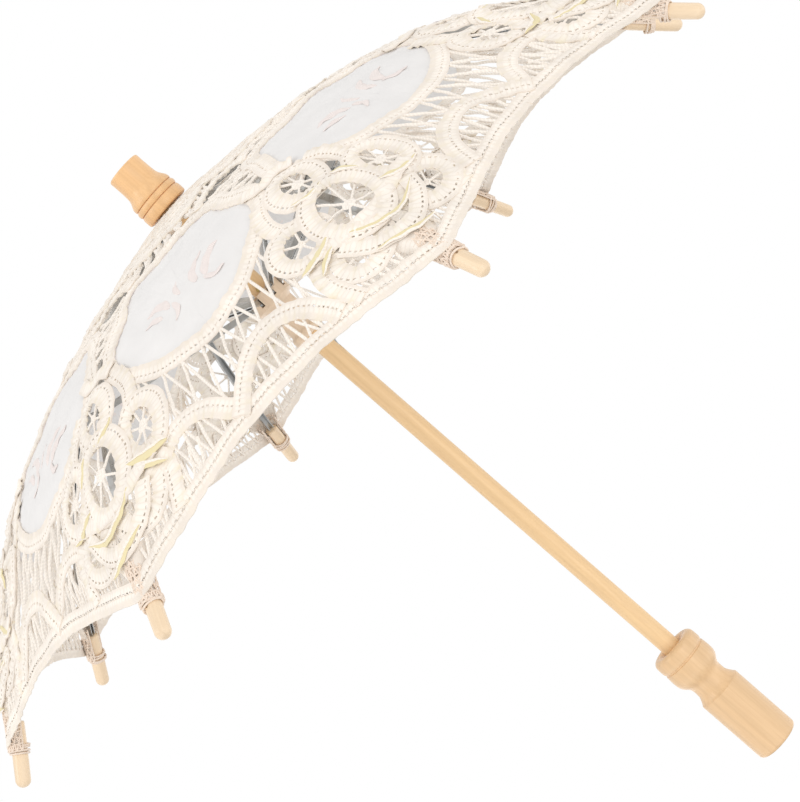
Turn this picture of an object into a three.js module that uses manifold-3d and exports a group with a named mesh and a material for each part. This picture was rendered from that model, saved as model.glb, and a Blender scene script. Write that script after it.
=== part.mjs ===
// A small lace parasol, open: a wooden stick with a turned handle and finial, and eight bowed steel ribs that
// carry a canopy of tape lace. The stick stands along +Z, and the origin is the centre of the handle's flat end.
//
// Each rib hinges on a wire in the top notch, and a stretcher joins it to the runner that slides on the shaft.
// The rib's hinge and the runner's hinge are the same distance from the shaft, and the stretcher is as long as
// the stretch of rib above it. Rib, stretcher and shaft then make an isosceles triangle at every angle.

import * as THREE from 'three';
import { mergeVertices } from 'three/addons/utils/BufferGeometryUtils.js';
import Module from 'manifold-3d';

const wasm = await Module();
wasm.setup();

// ---------------------------------------------------------------- driving dimensions, in mm and degrees

const RIBS = 8;
const GAP = 0.3; // between pieces that touch

// The stick
const SHAFT_R = 4.25;
const BORE_R = SHAFT_R + GAP;
const GRIP_R = 10.3;
const GRIP_LENGTH = 33;
const HANDLE_TOP = 60.6;
const SHAFT_FOOT = 27;
const FINIAL_BASE = 337;
const TOTAL_LENGTH = 362;
const FINIAL_BORE = 14;

// The ribs, in the plane of a rib: x out from the shaft, z up
const HINGE_R = 8;
const HINGE_Z = 332.4;
const TIP_END_R = 215;
const TIP_END_Z = 226;
const RIB_START_SLOPE = 8;
const RIB_END_SLOPE = 48;
const RIB_INNER_HANDLE = 104;
const RIB_OUTER_HANDLE = 70;
const JOINT_SHARE = 0.46; // how far along the bow the stretcher's joint is
const CHANNEL_WIDTH = 3;
const CHANNEL_HEIGHT = 2.4;
const CHANNEL_WALL = 0.5;
const BLADE_THICKNESS = 1.2;
const BLADE_LENGTH = 6; // from the hinge wire to the start of the channel
const EYE_R = 2;
const EYE_HOLE_R = 0.8;

// The joints between ribs and stretchers
const SADDLE_DROP = 3.4; // the rivet's distance below the middle of the rib
const SADDLE_THICKNESS = 1.8;
const EAR_R = 1.7;
const EAR_THICKNESS = 0.6;
const EAR_LENGTH = 9;
const RIVET_R = 0.45;
const RIVET_HOLE_R = 0.8;
const RIVET_HEAD_R = 1.25;
const RIVET_HEAD_THICKNESS = 0.5;

// The wooden tips
const TIP_R = 3.1;
const TIP_LENGTH = 26;
const TIP_BORE_R = 2.3;
const TIP_BORE_DEPTH = 9;
const THREAD_HOLE_R = 0.5;
const THREAD_HOLE_FROM_END = 13;

// The notch and the runner
const WIRE_R = 0.4;
const RING_R = 9.2;
const RING_REACH = 3; // how far a slotted ring goes past its hinge wire
const SLOT_WIDTH = 1.9;
const SLOT_FLOOR_R = 5.7;
const RUNNER_LENGTH = 27;
const RUNNER_NECK_R = 6.9;
const RUNNER_FOOT_R = 8.2;

// The catch and the stop pin
const CATCH_TURN = 22.5; // between two ribs
const CATCH_THICKNESS = 1;
const CATCH_HEIGHT = 13;
const CATCH_NOSE = 2.2; // how far the nose stands out of the shaft
const PIN_R = 0.9;
const PIN_LENGTH = 14;

// The canopy
const LACE_THICKNESS = 1.2;
const LACE_LIFT = 2; // its inner face above the middle of the rib
const POCKET_LIFT = 1.6; // how much higher it lies over the wooden tips
const CROWN_R = 11.2;
const PANEL_START_R = 11.8;
const BARE_TIP = 15; // how much of each wooden tip shows beyond the lace
const SCALLOP_DEPTH = 14;
const FLATNESS = 0.8; // 1 for gores that are flat from rib to rib, 0 for a round dome

// ---------------------------------------------------------------- materials

const material = (color, roughness, metalness = 0) =>
  new THREE.MeshStandardMaterial({ color, roughness, metalness });

const MATERIALS = {
  shaftWood: material(0xefc07f, 0.5),
  handleWood: material(0xebcb9b, 0.5),
  finialWood: material(0xefc48c, 0.5),
  tipWood: material(0xf6ddb5, 0.55),
  runnerWood: material(0xe6c08a, 0.55),
  steel: material(0xb9babd, 0.3, 1),
  brass: material(0xc9a45c, 0.35, 1),
  lace: material(0xfaf0e2, 0.9),
};

// ---------------------------------------------------------------- solids

// A closed mesh with shared corners, and with the flat triangles at a turned shape's poles left out.
function solidOf(geometry) {
  const bare = geometry.clone();
  bare.deleteAttribute('normal');
  bare.deleteAttribute('uv');
  const merged = mergeVertices(bare, 1e-4);
  const corners = merged.index.array;
  const triangles = [];
  for (let i = 0; i < corners.length; i += 3) {
    const [a, b, c] = corners.slice(i, i + 3);
    if (a !== b && b !== c && c !== a) triangles.push(a, b, c);
  }
  const mesh = new wasm.Mesh({
    numProp: 3,
    vertProperties: new Float32Array(merged.attributes.position.array),
    triVerts: new Uint32Array(triangles),
  });
  return new wasm.Manifold(mesh);
}

function geometryOf(solid) {
  const mesh = solid.getMesh();
  const geometry = new THREE.BufferGeometry();
  geometry.setAttribute('position', new THREE.BufferAttribute(mesh.vertProperties, 3));
  geometry.setIndex(new THREE.BufferAttribute(mesh.triVerts, 1));
  geometry.computeVertexNormals();
  return geometry;
}

function joined(...geometries) {
  return geometryOf(geometries.map(solidOf).reduce((whole, piece) => whole.add(piece)));
}

function cut(geometry, ...tools) {
  return geometryOf(tools.map(solidOf).reduce((whole, tool) => whole.subtract(tool), solidOf(geometry)));
}

// A profile of [radius, height] points turned about Z.
function turned(profile, segments) {
  const points = profile.map(([r, z]) => new THREE.Vector2(r, z));
  return new THREE.LatheGeometry(points, segments).rotateX(Math.PI / 2);
}

function cylinder(radius, low, high, segments) {
  return turned([[0, low], [radius, low], [radius, high], [0, high]], segments);
}

// A flat shape in the plane of a rib, given a thickness that is centred on that plane.
function plate(shape, thickness, curveSegments = 4) {
  const geometry = new THREE.ExtrudeGeometry(shape, { depth: thickness, bevelEnabled: false, curveSegments });
  return geometry.rotateX(Math.PI / 2).translate(0, thickness / 2, 0);
}

// A pin across the plane of a rib.
function crossPin(centre, radius, length, segments) {
  return cylinder(radius, -length / 2, length / 2, segments)
    .rotateX(Math.PI / 2)
    .translate(centre.x, 0, centre.y);
}

const point = (x, z) => new THREE.Vector2(x, z);
const inSpace = (p) => new THREE.Vector3(p.x, 0, p.y);
const radians = THREE.MathUtils.degToRad;

// A point so far from another one, in a direction given by its slope below level.
const stepDown = (from, slope, distance) =>
  point(from.x + distance * Math.cos(radians(slope)), from.y - distance * Math.sin(radians(slope)));

// ---------------------------------------------------------------- the plane of a rib

const hinge = point(HINGE_R, HINGE_Z);
const tipEnd = point(TIP_END_R, TIP_END_Z);
const tipStart = stepDown(tipEnd, RIB_END_SLOPE, -TIP_LENGTH);
const bowStart = stepDown(hinge, RIB_START_SLOPE, BLADE_LENGTH);
const ribBow = new THREE.CubicBezierCurve(
  bowStart,
  stepDown(bowStart, RIB_START_SLOPE, RIB_INNER_HANDLE),
  stepDown(tipStart, RIB_END_SLOPE, -RIB_OUTER_HANDLE),
  tipStart,
);

// The outward normal of the bow, on its upper side.
function upFrom(curve, share) {
  const tangent = curve.getTangentAt(share);
  return point(-tangent.y, tangent.x);
}

const joint = ribBow.getPointAt(JOINT_SHARE).addScaledVector(upFrom(ribBow, JOINT_SHARE), -SADDLE_DROP);
const runnerHinge = point(HINGE_R, 2 * joint.y - hinge.y);

// A folded steel channel, open below: web on top, two walls.
function channelSection() {
  const w = CHANNEL_WIDTH / 2;
  const h = CHANNEL_HEIGHT / 2;
  const outline = [[-w, -h], [w, -h], [w, h], [w - CHANNEL_WALL, h], [w - CHANNEL_WALL, CHANNEL_WALL - h]];
  outline.push([CHANNEL_WALL - w, CHANNEL_WALL - h], [CHANNEL_WALL - w, h], [-w, h]);
  return new THREE.Shape(outline.map(([x, y]) => point(x, y)));
}

// ---------------------------------------------------------------- pieces of a rib and its stretcher

// A flattened end with an eye for the hinge wire, running to the channel in the direction given.
function eyedBlade(eye, towards, length) {
  const along = towards.clone().sub(eye).normalize();
  const across = point(-along.y, along.x);
  const half = CHANNEL_HEIGHT / 2;
  const end = eye.clone().addScaledVector(along, length + 2);
  const turn = Math.atan2(along.y, along.x);
  const opening = Math.asin(half / EYE_R);
  const shape = new THREE.Shape();
  shape.moveTo(end.x - across.x * half, end.y - across.y * half);
  shape.lineTo(end.x + across.x * half, end.y + across.y * half);
  shape.absarc(eye.x, eye.y, EYE_R, turn + opening, turn + 2 * Math.PI - opening, false);
  shape.closePath();
  const blade = plate(shape, BLADE_THICKNESS, 6);
  return cut(blade, crossPin(eye, EYE_HOLE_R, 4, 8));
}

// A strip with one round end, from a pivot towards another point.
function roundEnded(pivot, radius, towards, length) {
  const turn = Math.atan2(towards.y - pivot.y, towards.x - pivot.x);
  const along = point(Math.cos(turn), Math.sin(turn));
  const across = point(-along.y, along.x);
  const end = pivot.clone().addScaledVector(along, length);
  const shape = new THREE.Shape();
  shape.moveTo(end.x - across.x * radius, end.y - across.y * radius);
  shape.lineTo(end.x + across.x * radius, end.y + across.y * radius);
  shape.absarc(pivot.x, pivot.y, radius, turn + Math.PI / 2, turn + 1.5 * Math.PI, false);
  shape.closePath();
  return shape;
}

function ribGeometry() {
  const path = new THREE.CurvePath();
  const bow = [ribBow.v0, ribBow.v1, ribBow.v2, ribBow.v3].map(inSpace);
  path.add(new THREE.CubicBezierCurve3(...bow));
  const insideTip = inSpace(stepDown(tipStart, RIB_END_SLOPE, TIP_BORE_DEPTH - GAP));
  path.add(new THREE.LineCurve3(inSpace(tipStart), insideTip));
  const channel = new THREE.ExtrudeGeometry(channelSection(), { steps: 14, extrudePath: path });
  const blade = eyedBlade(hinge, bowStart, BLADE_LENGTH);
  const underRib = ribBow.getPointAt(JOINT_SHARE);
  const saddle = cut(
    plate(roundEnded(joint, EAR_R, underRib, SADDLE_DROP + 1), SADDLE_THICKNESS),
    crossPin(joint, RIVET_HOLE_R, 4, 8),
  );
  return joined(channel, blade, saddle);
}

function stretcherGeometry() {
  const along = runnerHinge.clone().sub(joint).normalize();
  const from = joint.clone().addScaledVector(along, EAR_LENGTH - 2);
  const to = runnerHinge.clone().addScaledVector(along, -BLADE_LENGTH);
  const path = new THREE.LineCurve3(inSpace(to), inSpace(from));
  const channel = new THREE.ExtrudeGeometry(channelSection(), { steps: 1, extrudePath: path });
  const blade = eyedBlade(runnerHinge, joint, BLADE_LENGTH);
  const earAt = (CHANNEL_WIDTH + EAR_THICKNESS) / 2 - 0.25;
  const ear = plate(roundEnded(joint, EAR_R, runnerHinge, EAR_LENGTH), EAR_THICKNESS);
  const pinHole = crossPin(joint, RIVET_HOLE_R, 6, 8);
  const ears = [earAt, -earAt].map((y) => cut(ear.clone().translate(0, y, 0), pinHole));
  return joined(channel, blade, ...ears);
}

function rivetGeometry() {
  const reach = CHANNEL_WIDTH / 2 - 0.25 + EAR_THICKNESS + GAP;
  const top = reach + RIVET_HEAD_THICKNESS;
  const half = [[RIVET_R, reach], [RIVET_HEAD_R, reach], [RIVET_HEAD_R * 0.8, top], [0, top]];
  const mirrored = half.map(([r, z]) => [r, -z]).reverse();
  return turned([...mirrored, ...half], 8)
    .rotateX(Math.PI / 2)
    .translate(joint.x, 0, joint.y);
}

// A dowel along Z with its bored end at 0, then laid along the end of the rib.
function tipGeometry() {
  const round = 1.6;
  const profile = [
    [0, TIP_BORE_DEPTH],
    [TIP_BORE_R, TIP_BORE_DEPTH],
    [TIP_BORE_R, 0],
    [TIP_R - 0.4, 0],
    [TIP_R, 1],
    [TIP_R, TIP_LENGTH - round],
    [TIP_R - 0.5, TIP_LENGTH - 0.5],
    [TIP_R - round, TIP_LENGTH],
    [0, TIP_LENGTH],
  ];
  const threadHole = cylinder(THREAD_HOLE_R, -5, 5, 8)
    .rotateX(Math.PI / 2)
    .translate(0, 0, TIP_LENGTH - THREAD_HOLE_FROM_END);
  return cut(turned(profile, 12), threadHole)
    .rotateY(Math.PI / 2 + radians(RIB_END_SLOPE))
    .translate(tipStart.x, 0, tipStart.y);
}

// ---------------------------------------------------------------- pieces on the shaft

function shaftGeometry() {
  const top = FINIAL_BASE + FINIAL_BORE - GAP;
  const edge = 0.8;
  const profile = [[0, SHAFT_FOOT], [SHAFT_R - edge, SHAFT_FOOT], [SHAFT_R, SHAFT_FOOT + edge]];
  profile.push([SHAFT_R, top - edge], [SHAFT_R - edge, top], [0, top]);
  const slotHeight = CATCH_HEIGHT + 3;
  const slot = new THREE.BoxGeometry(8, CATCH_THICKNESS + 2 * GAP, slotHeight)
    .translate(1.4, 0, catchTop - slotHeight / 2 + 1.5)
    .rotateZ(radians(CATCH_TURN));
  const pinHole = cylinder(PIN_R + GAP, -10, 10, 12)
    .rotateX(Math.PI / 2)
    .rotateZ(radians(CATCH_TURN))
    .translate(0, 0, pinHeight);
  return cut(turned(profile, 24), slot, pinHole);
}

// The points of an arc from one angle to another, in degrees, about a centre given as [radius, height].
function arc([r, z], radius, from, to, steps) {
  return Array.from({ length: steps + 1 }, (_, i) => {
    const turn = radians(from + ((to - from) * i) / steps);
    return [r + radius * Math.cos(turn), z + radius * Math.sin(turn)];
  });
}

// Grip, neck, bell and ringed collar, bored from the top for the shaft.
function handleGeometry() {
  const neckLow = GRIP_LENGTH + 3.6;
  const neckHigh = neckLow + 4.6;
  const bellTop = HANDLE_TOP - 7.2;
  const outside = [
    [0, 0],
    ...arc([GRIP_R - 1.8, 1.8], 1.8, -90, 0, 3),
    [GRIP_R, GRIP_LENGTH - 0.5],
    [GRIP_R - 0.6, GRIP_LENGTH + 0.7],
    [8.1, neckLow],
    [8, neckHigh],
    [8.9, neckHigh + 1.6],
    [10.3, neckHigh + 3],
    [11, bellTop - 0.6],
    [10.5, bellTop],
    [11, bellTop + 0.6],
    [10.7, HANDLE_TOP - 2.4],
    ...arc([8.3, HANDLE_TOP - 2.2], 2.2, 0, 90, 3),
    [BORE_R + 1.6, HANDLE_TOP - 0.4],
    [BORE_R, HANDLE_TOP - 1.8],
    [BORE_R, SHAFT_FOOT - GAP],
    [0, SHAFT_FOOT - GAP],
  ];
  return turned(outside, 24);
}

// A band and a bead with a groove under each, a cove, and a slightly tapered top, bored from below.
function finialGeometry() {
  const band = FINIAL_BASE + 4.9;
  const bead = band + 3.2;
  const cove = bead + 5.4;
  const outside = [
    [0, FINIAL_BASE + FINIAL_BORE],
    [BORE_R, FINIAL_BASE + FINIAL_BORE],
    [BORE_R, FINIAL_BASE],
    [10, FINIAL_BASE],
    [10.5, FINIAL_BASE + 0.6],
    [10.5, band - 0.4],
    [10, band],
    [10.5, band + 0.4],
    [10.5, bead - 0.4],
    [10, bead],
    [10.3, bead + 0.5],
    [9.5, bead + 2],
    [8.8, cove],
    [8, TOTAL_LENGTH - 1.2],
    [7, TOTAL_LENGTH],
    [0, TOTAL_LENGTH],
  ];
  return turned(outside, 24);
}

// Eight slots and a groove for the wire. The slots are open outwards and towards the side given, -1 for below.
function slotted(body, hingeZ, side) {
  const half = 0.7;
  const floor = HINGE_R - half;
  const outer = RING_R + 1;
  const low = hingeZ - half;
  const high = hingeZ + half;
  const section = [[floor, low], [outer, low], [outer, high], [floor, high]];
  const groove = turned([...section, section[0]], 24);
  const reach = RING_R + 2 - SLOT_FLOOR_R;
  const depth = RING_REACH + 2 + EYE_R + GAP;
  const slots = Array.from({ length: RIBS }, (_, k) =>
    new THREE.BoxGeometry(reach, SLOT_WIDTH, depth)
      .translate(SLOT_FLOOR_R + reach / 2, 0, hingeZ + side * (depth / 2 - EYE_R - GAP))
      .rotateZ((k * 2 * Math.PI) / RIBS),
  );
  return cut(body, groove, ...slots);
}

function notchGeometry() {
  const top = crownZ - GAP;
  const bottom = HINGE_Z - RING_REACH;
  const profile = [[BORE_R, bottom], [RING_R, bottom], [RING_R, top], [BORE_R, top], [BORE_R, bottom]];
  return slotted(turned(profile, 24), HINGE_Z, -1);
}

function runnerGeometry() {
  const neck = runnerHinge.y - 4.5;
  const profile = [
    [BORE_R, runnerFoot],
    [RUNNER_FOOT_R - 0.6, runnerFoot],
    [RUNNER_FOOT_R, runnerFoot + 0.6],
    [RUNNER_FOOT_R, runnerFoot + 3],
    [RUNNER_NECK_R, runnerFoot + 4.4],
    [RUNNER_NECK_R, neck - 1.6],
    [RING_R, neck],
    [RING_R, runnerTop],
    [BORE_R, runnerTop],
    [BORE_R, runnerFoot],
  ];
  return slotted(turned(profile, 24), runnerHinge.y, 1);
}

function wireGeometry(height) {
  const section = Array.from({ length: 7 }, (_, i) => {
    const turn = (i * Math.PI) / 3;
    return [HINGE_R + WIRE_R * Math.cos(turn), height + WIRE_R * Math.sin(turn)];
  });
  return turned(section, 24);
}

// A wedge of spring steel: flush with the shaft at its foot, with a level nose that the runner rests on.
function catchGeometry() {
  const foot = catchTop - CATCH_HEIGHT;
  const shape = new THREE.Shape();
  shape.moveTo(-1.4, foot);
  shape.lineTo(SHAFT_R - 0.6, foot);
  shape.lineTo(SHAFT_R + CATCH_NOSE, catchTop - 1.2);
  shape.lineTo(SHAFT_R + CATCH_NOSE, catchTop);
  shape.lineTo(SHAFT_R - 1.6, catchTop);
  shape.closePath();
  return plate(shape, CATCH_THICKNESS).rotateZ(radians(CATCH_TURN));
}

function stopPinGeometry() {
  return cylinder(PIN_R, -PIN_LENGTH / 2, PIN_LENGTH / 2, 12)
    .rotateX(Math.PI / 2)
    .rotateZ(radians(CATCH_TURN))
    .translate(0, 0, pinHeight);
}

function crownGeometry() {
  const profile = [
    [BORE_R, crownZ],
    [CROWN_R, crownZ - 0.4],
    [CROWN_R, crownZ + 0.5],
    [BORE_R, crownZ + 0.9],
  ];
  return turned([...profile, profile[0]], 24);
}

const runnerTop = runnerHinge.y + RING_REACH;
const runnerFoot = runnerTop - RUNNER_LENGTH;
const catchTop = runnerFoot - GAP;
const pinHeight = runnerTop + GAP + PIN_R;
const crownZ = FINIAL_BASE - GAP - 0.9;

// ---------------------------------------------------------------- the canopy

// The line of the lace over a rib, a share of the way from the crown to the hem.
function laceLine(share) {
  const start = (PANEL_START_R - bowStart.x) / ribBow.getLength();
  const hem = 1 + (TIP_LENGTH - BARE_TIP) / ribBow.getLength();
  const along = start + (hem - start) * share;
  const inside = THREE.MathUtils.clamp(along, 0, 1);
  const beyond = (along - inside) * ribBow.getLength();
  const up = upFrom(ribBow, inside);
  const place = ribBow.getPointAt(inside).addScaledVector(ribBow.getTangentAt(inside), beyond);
  return { place, up };
}

// A point of the lace: share from crown to hem, turn away from the rib in degrees, lift above the rib.
function lacePoint(share, turn, lift) {
  const half = 180 / RIBS;
  const towardsMiddle = Math.abs(turn) / half;
  const scallop = (SCALLOP_DEPTH / ribBow.getLength()) * Math.sin((towardsMiddle * Math.PI) / 2);
  const { place, up } = laceLine(share * (1 - scallop));
  const overTip = POCKET_LIFT * THREE.MathUtils.smoothstep(share, 0.75, 0.9);
  const level = place.clone().addScaledVector(up, lift + overTip);
  const chord = Math.cos(radians(half)) / Math.cos(radians(half - Math.abs(turn)));
  const flattening = 1 - FLATNESS * share * (1 - chord);
  return new THREE.Vector3(level.x * flattening, 0, level.y).applyAxisAngle(
    new THREE.Vector3(0, 0, 1),
    radians(turn),
  );
}

// The share of the canopy that one rib carries, from gore middle to gore middle.
function panelGeometry() {
  const rows = 11;
  const columns = 4;
  const edge = 180 / RIBS;
  const positions = [];
  for (const lift of [LACE_LIFT, LACE_LIFT + LACE_THICKNESS]) {
    for (let i = 0; i <= rows; i += 1) {
      const share = i / rows;
      const slack = (GAP / 2 / THREE.MathUtils.lerp(PANEL_START_R, TIP_END_R, share)) * (180 / Math.PI);
      for (let j = 0; j <= columns; j += 1) {
        const turn = (edge - slack) * ((2 * j) / columns - 1);
        positions.push(...lacePoint(share, turn, lift).toArray());
      }
    }
  }
  const perLayer = (rows + 1) * (columns + 1);
  const at = (layer, i, j) => layer * perLayer + i * (columns + 1) + j;
  const indices = [];
  const quad = (a, b, c, d) => indices.push(a, b, c, a, c, d);
  for (let i = 0; i < rows; i += 1) {
    for (let j = 0; j < columns; j += 1) {
      quad(at(1, i, j), at(1, i + 1, j), at(1, i + 1, j + 1), at(1, i, j + 1));
      quad(at(0, i, j), at(0, i, j + 1), at(0, i + 1, j + 1), at(0, i + 1, j));
    }
    quad(at(0, i, 0), at(0, i + 1, 0), at(1, i + 1, 0), at(1, i, 0));
    quad(at(0, i, columns), at(1, i, columns), at(1, i + 1, columns), at(0, i + 1, columns));
  }
  for (let j = 0; j < columns; j += 1) {
    quad(at(0, 0, j), at(1, 0, j), at(1, 0, j + 1), at(0, 0, j + 1));
    quad(at(0, rows, j), at(0, rows, j + 1), at(1, rows, j + 1), at(1, rows, j));
  }
  const geometry = new THREE.BufferGeometry();
  geometry.setAttribute('position', new THREE.Float32BufferAttribute(positions, 3));
  geometry.setIndex(indices);
  geometry.computeVertexNormals();
  return geometry;
}

// ---------------------------------------------------------------- the assembly

const parasol = new THREE.Group();

function add(parent, name, geometry, finish) {
  const mesh = new THREE.Mesh(geometry, finish);
  mesh.name = name;
  parent.add(mesh);
}

add(parasol, 'shaft', shaftGeometry(), MATERIALS.shaftWood);
add(parasol, 'handle', handleGeometry(), MATERIALS.handleWood);
add(parasol, 'finial', finialGeometry(), MATERIALS.finialWood);
add(parasol, 'lace_crown', crownGeometry(), MATERIALS.lace);
add(parasol, 'top_notch', notchGeometry(), MATERIALS.runnerWood);
add(parasol, 'notch_wire', wireGeometry(HINGE_Z), MATERIALS.steel);
add(parasol, 'runner', runnerGeometry(), MATERIALS.runnerWood);
add(parasol, 'runner_wire', wireGeometry(runnerHinge.y), MATERIALS.steel);
add(parasol, 'catch_spring', catchGeometry(), MATERIALS.steel);
add(parasol, 'stop_pin', stopPinGeometry(), MATERIALS.brass);

const rib = ribGeometry();
const stretcher = stretcherGeometry();
const rivet = rivetGeometry();
const tip = tipGeometry();
const panel = panelGeometry();

for (let k = 1; k <= RIBS; k += 1) {
  const spoke = new THREE.Group();
  spoke.rotation.z = ((k - 1) * 2 * Math.PI) / RIBS;
  add(spoke, `rib_${k}`, rib, MATERIALS.steel);
  add(spoke, `rib_tip_${k}`, tip, MATERIALS.tipWood);
  add(spoke, `joint_rivet_${k}`, rivet, MATERIALS.brass);
  add(spoke, `stretcher_${k}`, stretcher, MATERIALS.steel);
  add(spoke, `lace_panel_${k}`, panel, MATERIALS.lace);
  parasol.add(spoke);
}

export default parasol;
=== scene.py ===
import math

import bmesh
import bpy
import numpy as np
from mathutils import Matrix, Vector


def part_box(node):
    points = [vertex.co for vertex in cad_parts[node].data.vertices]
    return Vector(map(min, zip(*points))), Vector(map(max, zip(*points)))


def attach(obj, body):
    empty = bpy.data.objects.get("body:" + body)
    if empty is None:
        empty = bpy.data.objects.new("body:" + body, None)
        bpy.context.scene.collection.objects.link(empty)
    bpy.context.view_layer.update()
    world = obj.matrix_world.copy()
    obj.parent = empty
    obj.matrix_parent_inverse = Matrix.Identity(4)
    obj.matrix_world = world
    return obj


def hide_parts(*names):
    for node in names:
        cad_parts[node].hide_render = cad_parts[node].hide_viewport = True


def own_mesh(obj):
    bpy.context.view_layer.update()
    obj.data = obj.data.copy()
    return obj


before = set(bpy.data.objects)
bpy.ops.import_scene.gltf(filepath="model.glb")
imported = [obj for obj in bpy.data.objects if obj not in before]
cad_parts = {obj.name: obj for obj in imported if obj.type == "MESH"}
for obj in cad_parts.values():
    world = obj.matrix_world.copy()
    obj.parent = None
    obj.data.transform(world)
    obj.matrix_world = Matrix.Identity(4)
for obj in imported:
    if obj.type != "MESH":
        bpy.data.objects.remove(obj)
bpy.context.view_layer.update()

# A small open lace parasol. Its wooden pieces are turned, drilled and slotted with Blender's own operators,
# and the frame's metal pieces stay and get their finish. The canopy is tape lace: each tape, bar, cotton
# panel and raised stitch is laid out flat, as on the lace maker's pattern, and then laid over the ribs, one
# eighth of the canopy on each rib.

bl_info = {
    "name": "Lace Parasol",
    "version": (1, 0, 0),
    "blender": (4, 5, 0),
    "location": "View3D > Sidebar > Parasol",
    "description": "An open parasol with a canopy of tape lace over eight ribs",
    "category": "Object",
}

MM = 0.001
RIBS = 8
HALF_GORE = 180 / RIBS  # degrees from a rib to the middle of the gore beside it
LOOP_POINTS = 96


# ------------------------------------------------------------------------------------------------ settings


def length(name, description, millimetres):
    default = millimetres * MM
    return bpy.props.FloatProperty(name=name, description=description, default=default, unit="LENGTH")


def slope(name, description, degrees):
    default = math.radians(degrees)
    return bpy.props.FloatProperty(name=name, description=description, default=default, subtype="ANGLE")


def colour(name, description, red, green, blue):
    return bpy.props.FloatVectorProperty(
        name=name, description=description, default=(red, green, blue), subtype="COLOR", min=0, max=1
    )


class ParasolFrame(bpy.types.PropertyGroup):
    hinge_radius: length("Hinge radius", "From the shaft's axis to a rib's hinge", 8)
    hinge_height: length("Hinge height", "Height of the ribs' hinges", 332.4)
    tip_radius: length("Tip radius", "From the shaft's axis to the end of a wooden tip", 215)
    tip_height: length("Tip height", "Height of the ends of the wooden tips", 226)
    tip_length: length("Tip length", "Length of a wooden tip", 26)
    tip_thickness: length("Tip thickness", "Diameter of a wooden tip", 6.2)
    blade_length: length("Blade length", "From a rib's hinge to the start of its bow", 6)
    inner_pull: length("Inner pull", "How far the bow keeps its first direction", 104)
    outer_pull: length("Outer pull", "How far the bow keeps its last direction", 70)
    start_slope: slope("Start slope", "Slope of a rib at its hinge", 8)
    end_slope: slope("End slope", "Slope of a rib at its tip", 48)


class ParasolLace(bpy.types.PropertyGroup):
    tape_width: length("Tape width", "Width of the woven tape", 8.2)
    tape_thickness: length("Tape thickness", "Thickness of the woven tape", 0.5)
    cotton_thickness: length("Cotton thickness", "Thickness of the panels' cotton", 0.3)
    stitch_pitch: length("Stitch pitch", "From one hole of a tape's hole row to the next", 2.1)
    bar_thickness: length("Bar thickness", "Diameter of the twisted threads between tapes", 1.25)
    start_radius: length("Start radius", "Where the canopy starts, from the shaft's axis", 11.8)
    bare_tip: length("Bare tip", "How much of each wooden tip shows beyond the lace", 15)
    scallop: length("Scallop", "How much shorter the canopy is between two ribs", 14)
    lift: length("Lift", "Height of the lace over the middle of a rib", 2.6)
    pocket_lift: length("Pocket lift", "How much higher the lace lies over the wooden tips", 1.6)
    flatness: bpy.props.FloatProperty(
        name="Flatness", description="1 for gores flat from rib to rib, 0 for a round dome", default=0.8
    )


class ParasolColours(bpy.types.PropertyGroup):
    tape: colour("Tape", "Colour of the tapes", 0.905, 0.835, 0.755)
    # Painted shade: the yellow tone mixed into the tapes where their pleats dip, also the colour of the
    # crease cords
    painted_fold_shade: colour("Fold", "Colour deep in the tapes' folds", 0.8, 0.7, 0.43)
    cotton: colour("Cotton", "Colour of the cotton panels", 0.8, 0.78, 0.765)
    stitching: colour("Stitching", "Colour of the raised embroidery", 0.85, 0.765, 0.73)
    shaft: colour("Shaft", "Colour of the shaft's wood", 0.83, 0.57, 0.3)
    handle: colour("Handle", "Colour of the handle's wood", 0.775, 0.52, 0.285)
    finial: colour("Finial", "Colour of the finial's wood", 0.84, 0.52, 0.25)
    tip: colour("Tip", "Colour of the tips' wood", 0.83, 0.65, 0.45)
    runner: colour("Runner", "Colour of the runner's wood", 0.8, 0.62, 0.45)
    steel: colour("Steel", "Colour of the ribs' steel", 0.56, 0.56, 0.55)
    brass: colour("Brass", "Colour of the rivets and the stop pin", 0.6, 0.43, 0.17)
    tie: colour("Tie", "Colour of the tips' thread ties", 0.86, 0.72, 0.6)


def settings(kind):
    return getattr(bpy.context.scene, "parasol_" + kind)


# --------------------------------------------------------------------------------------------- materials


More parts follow.
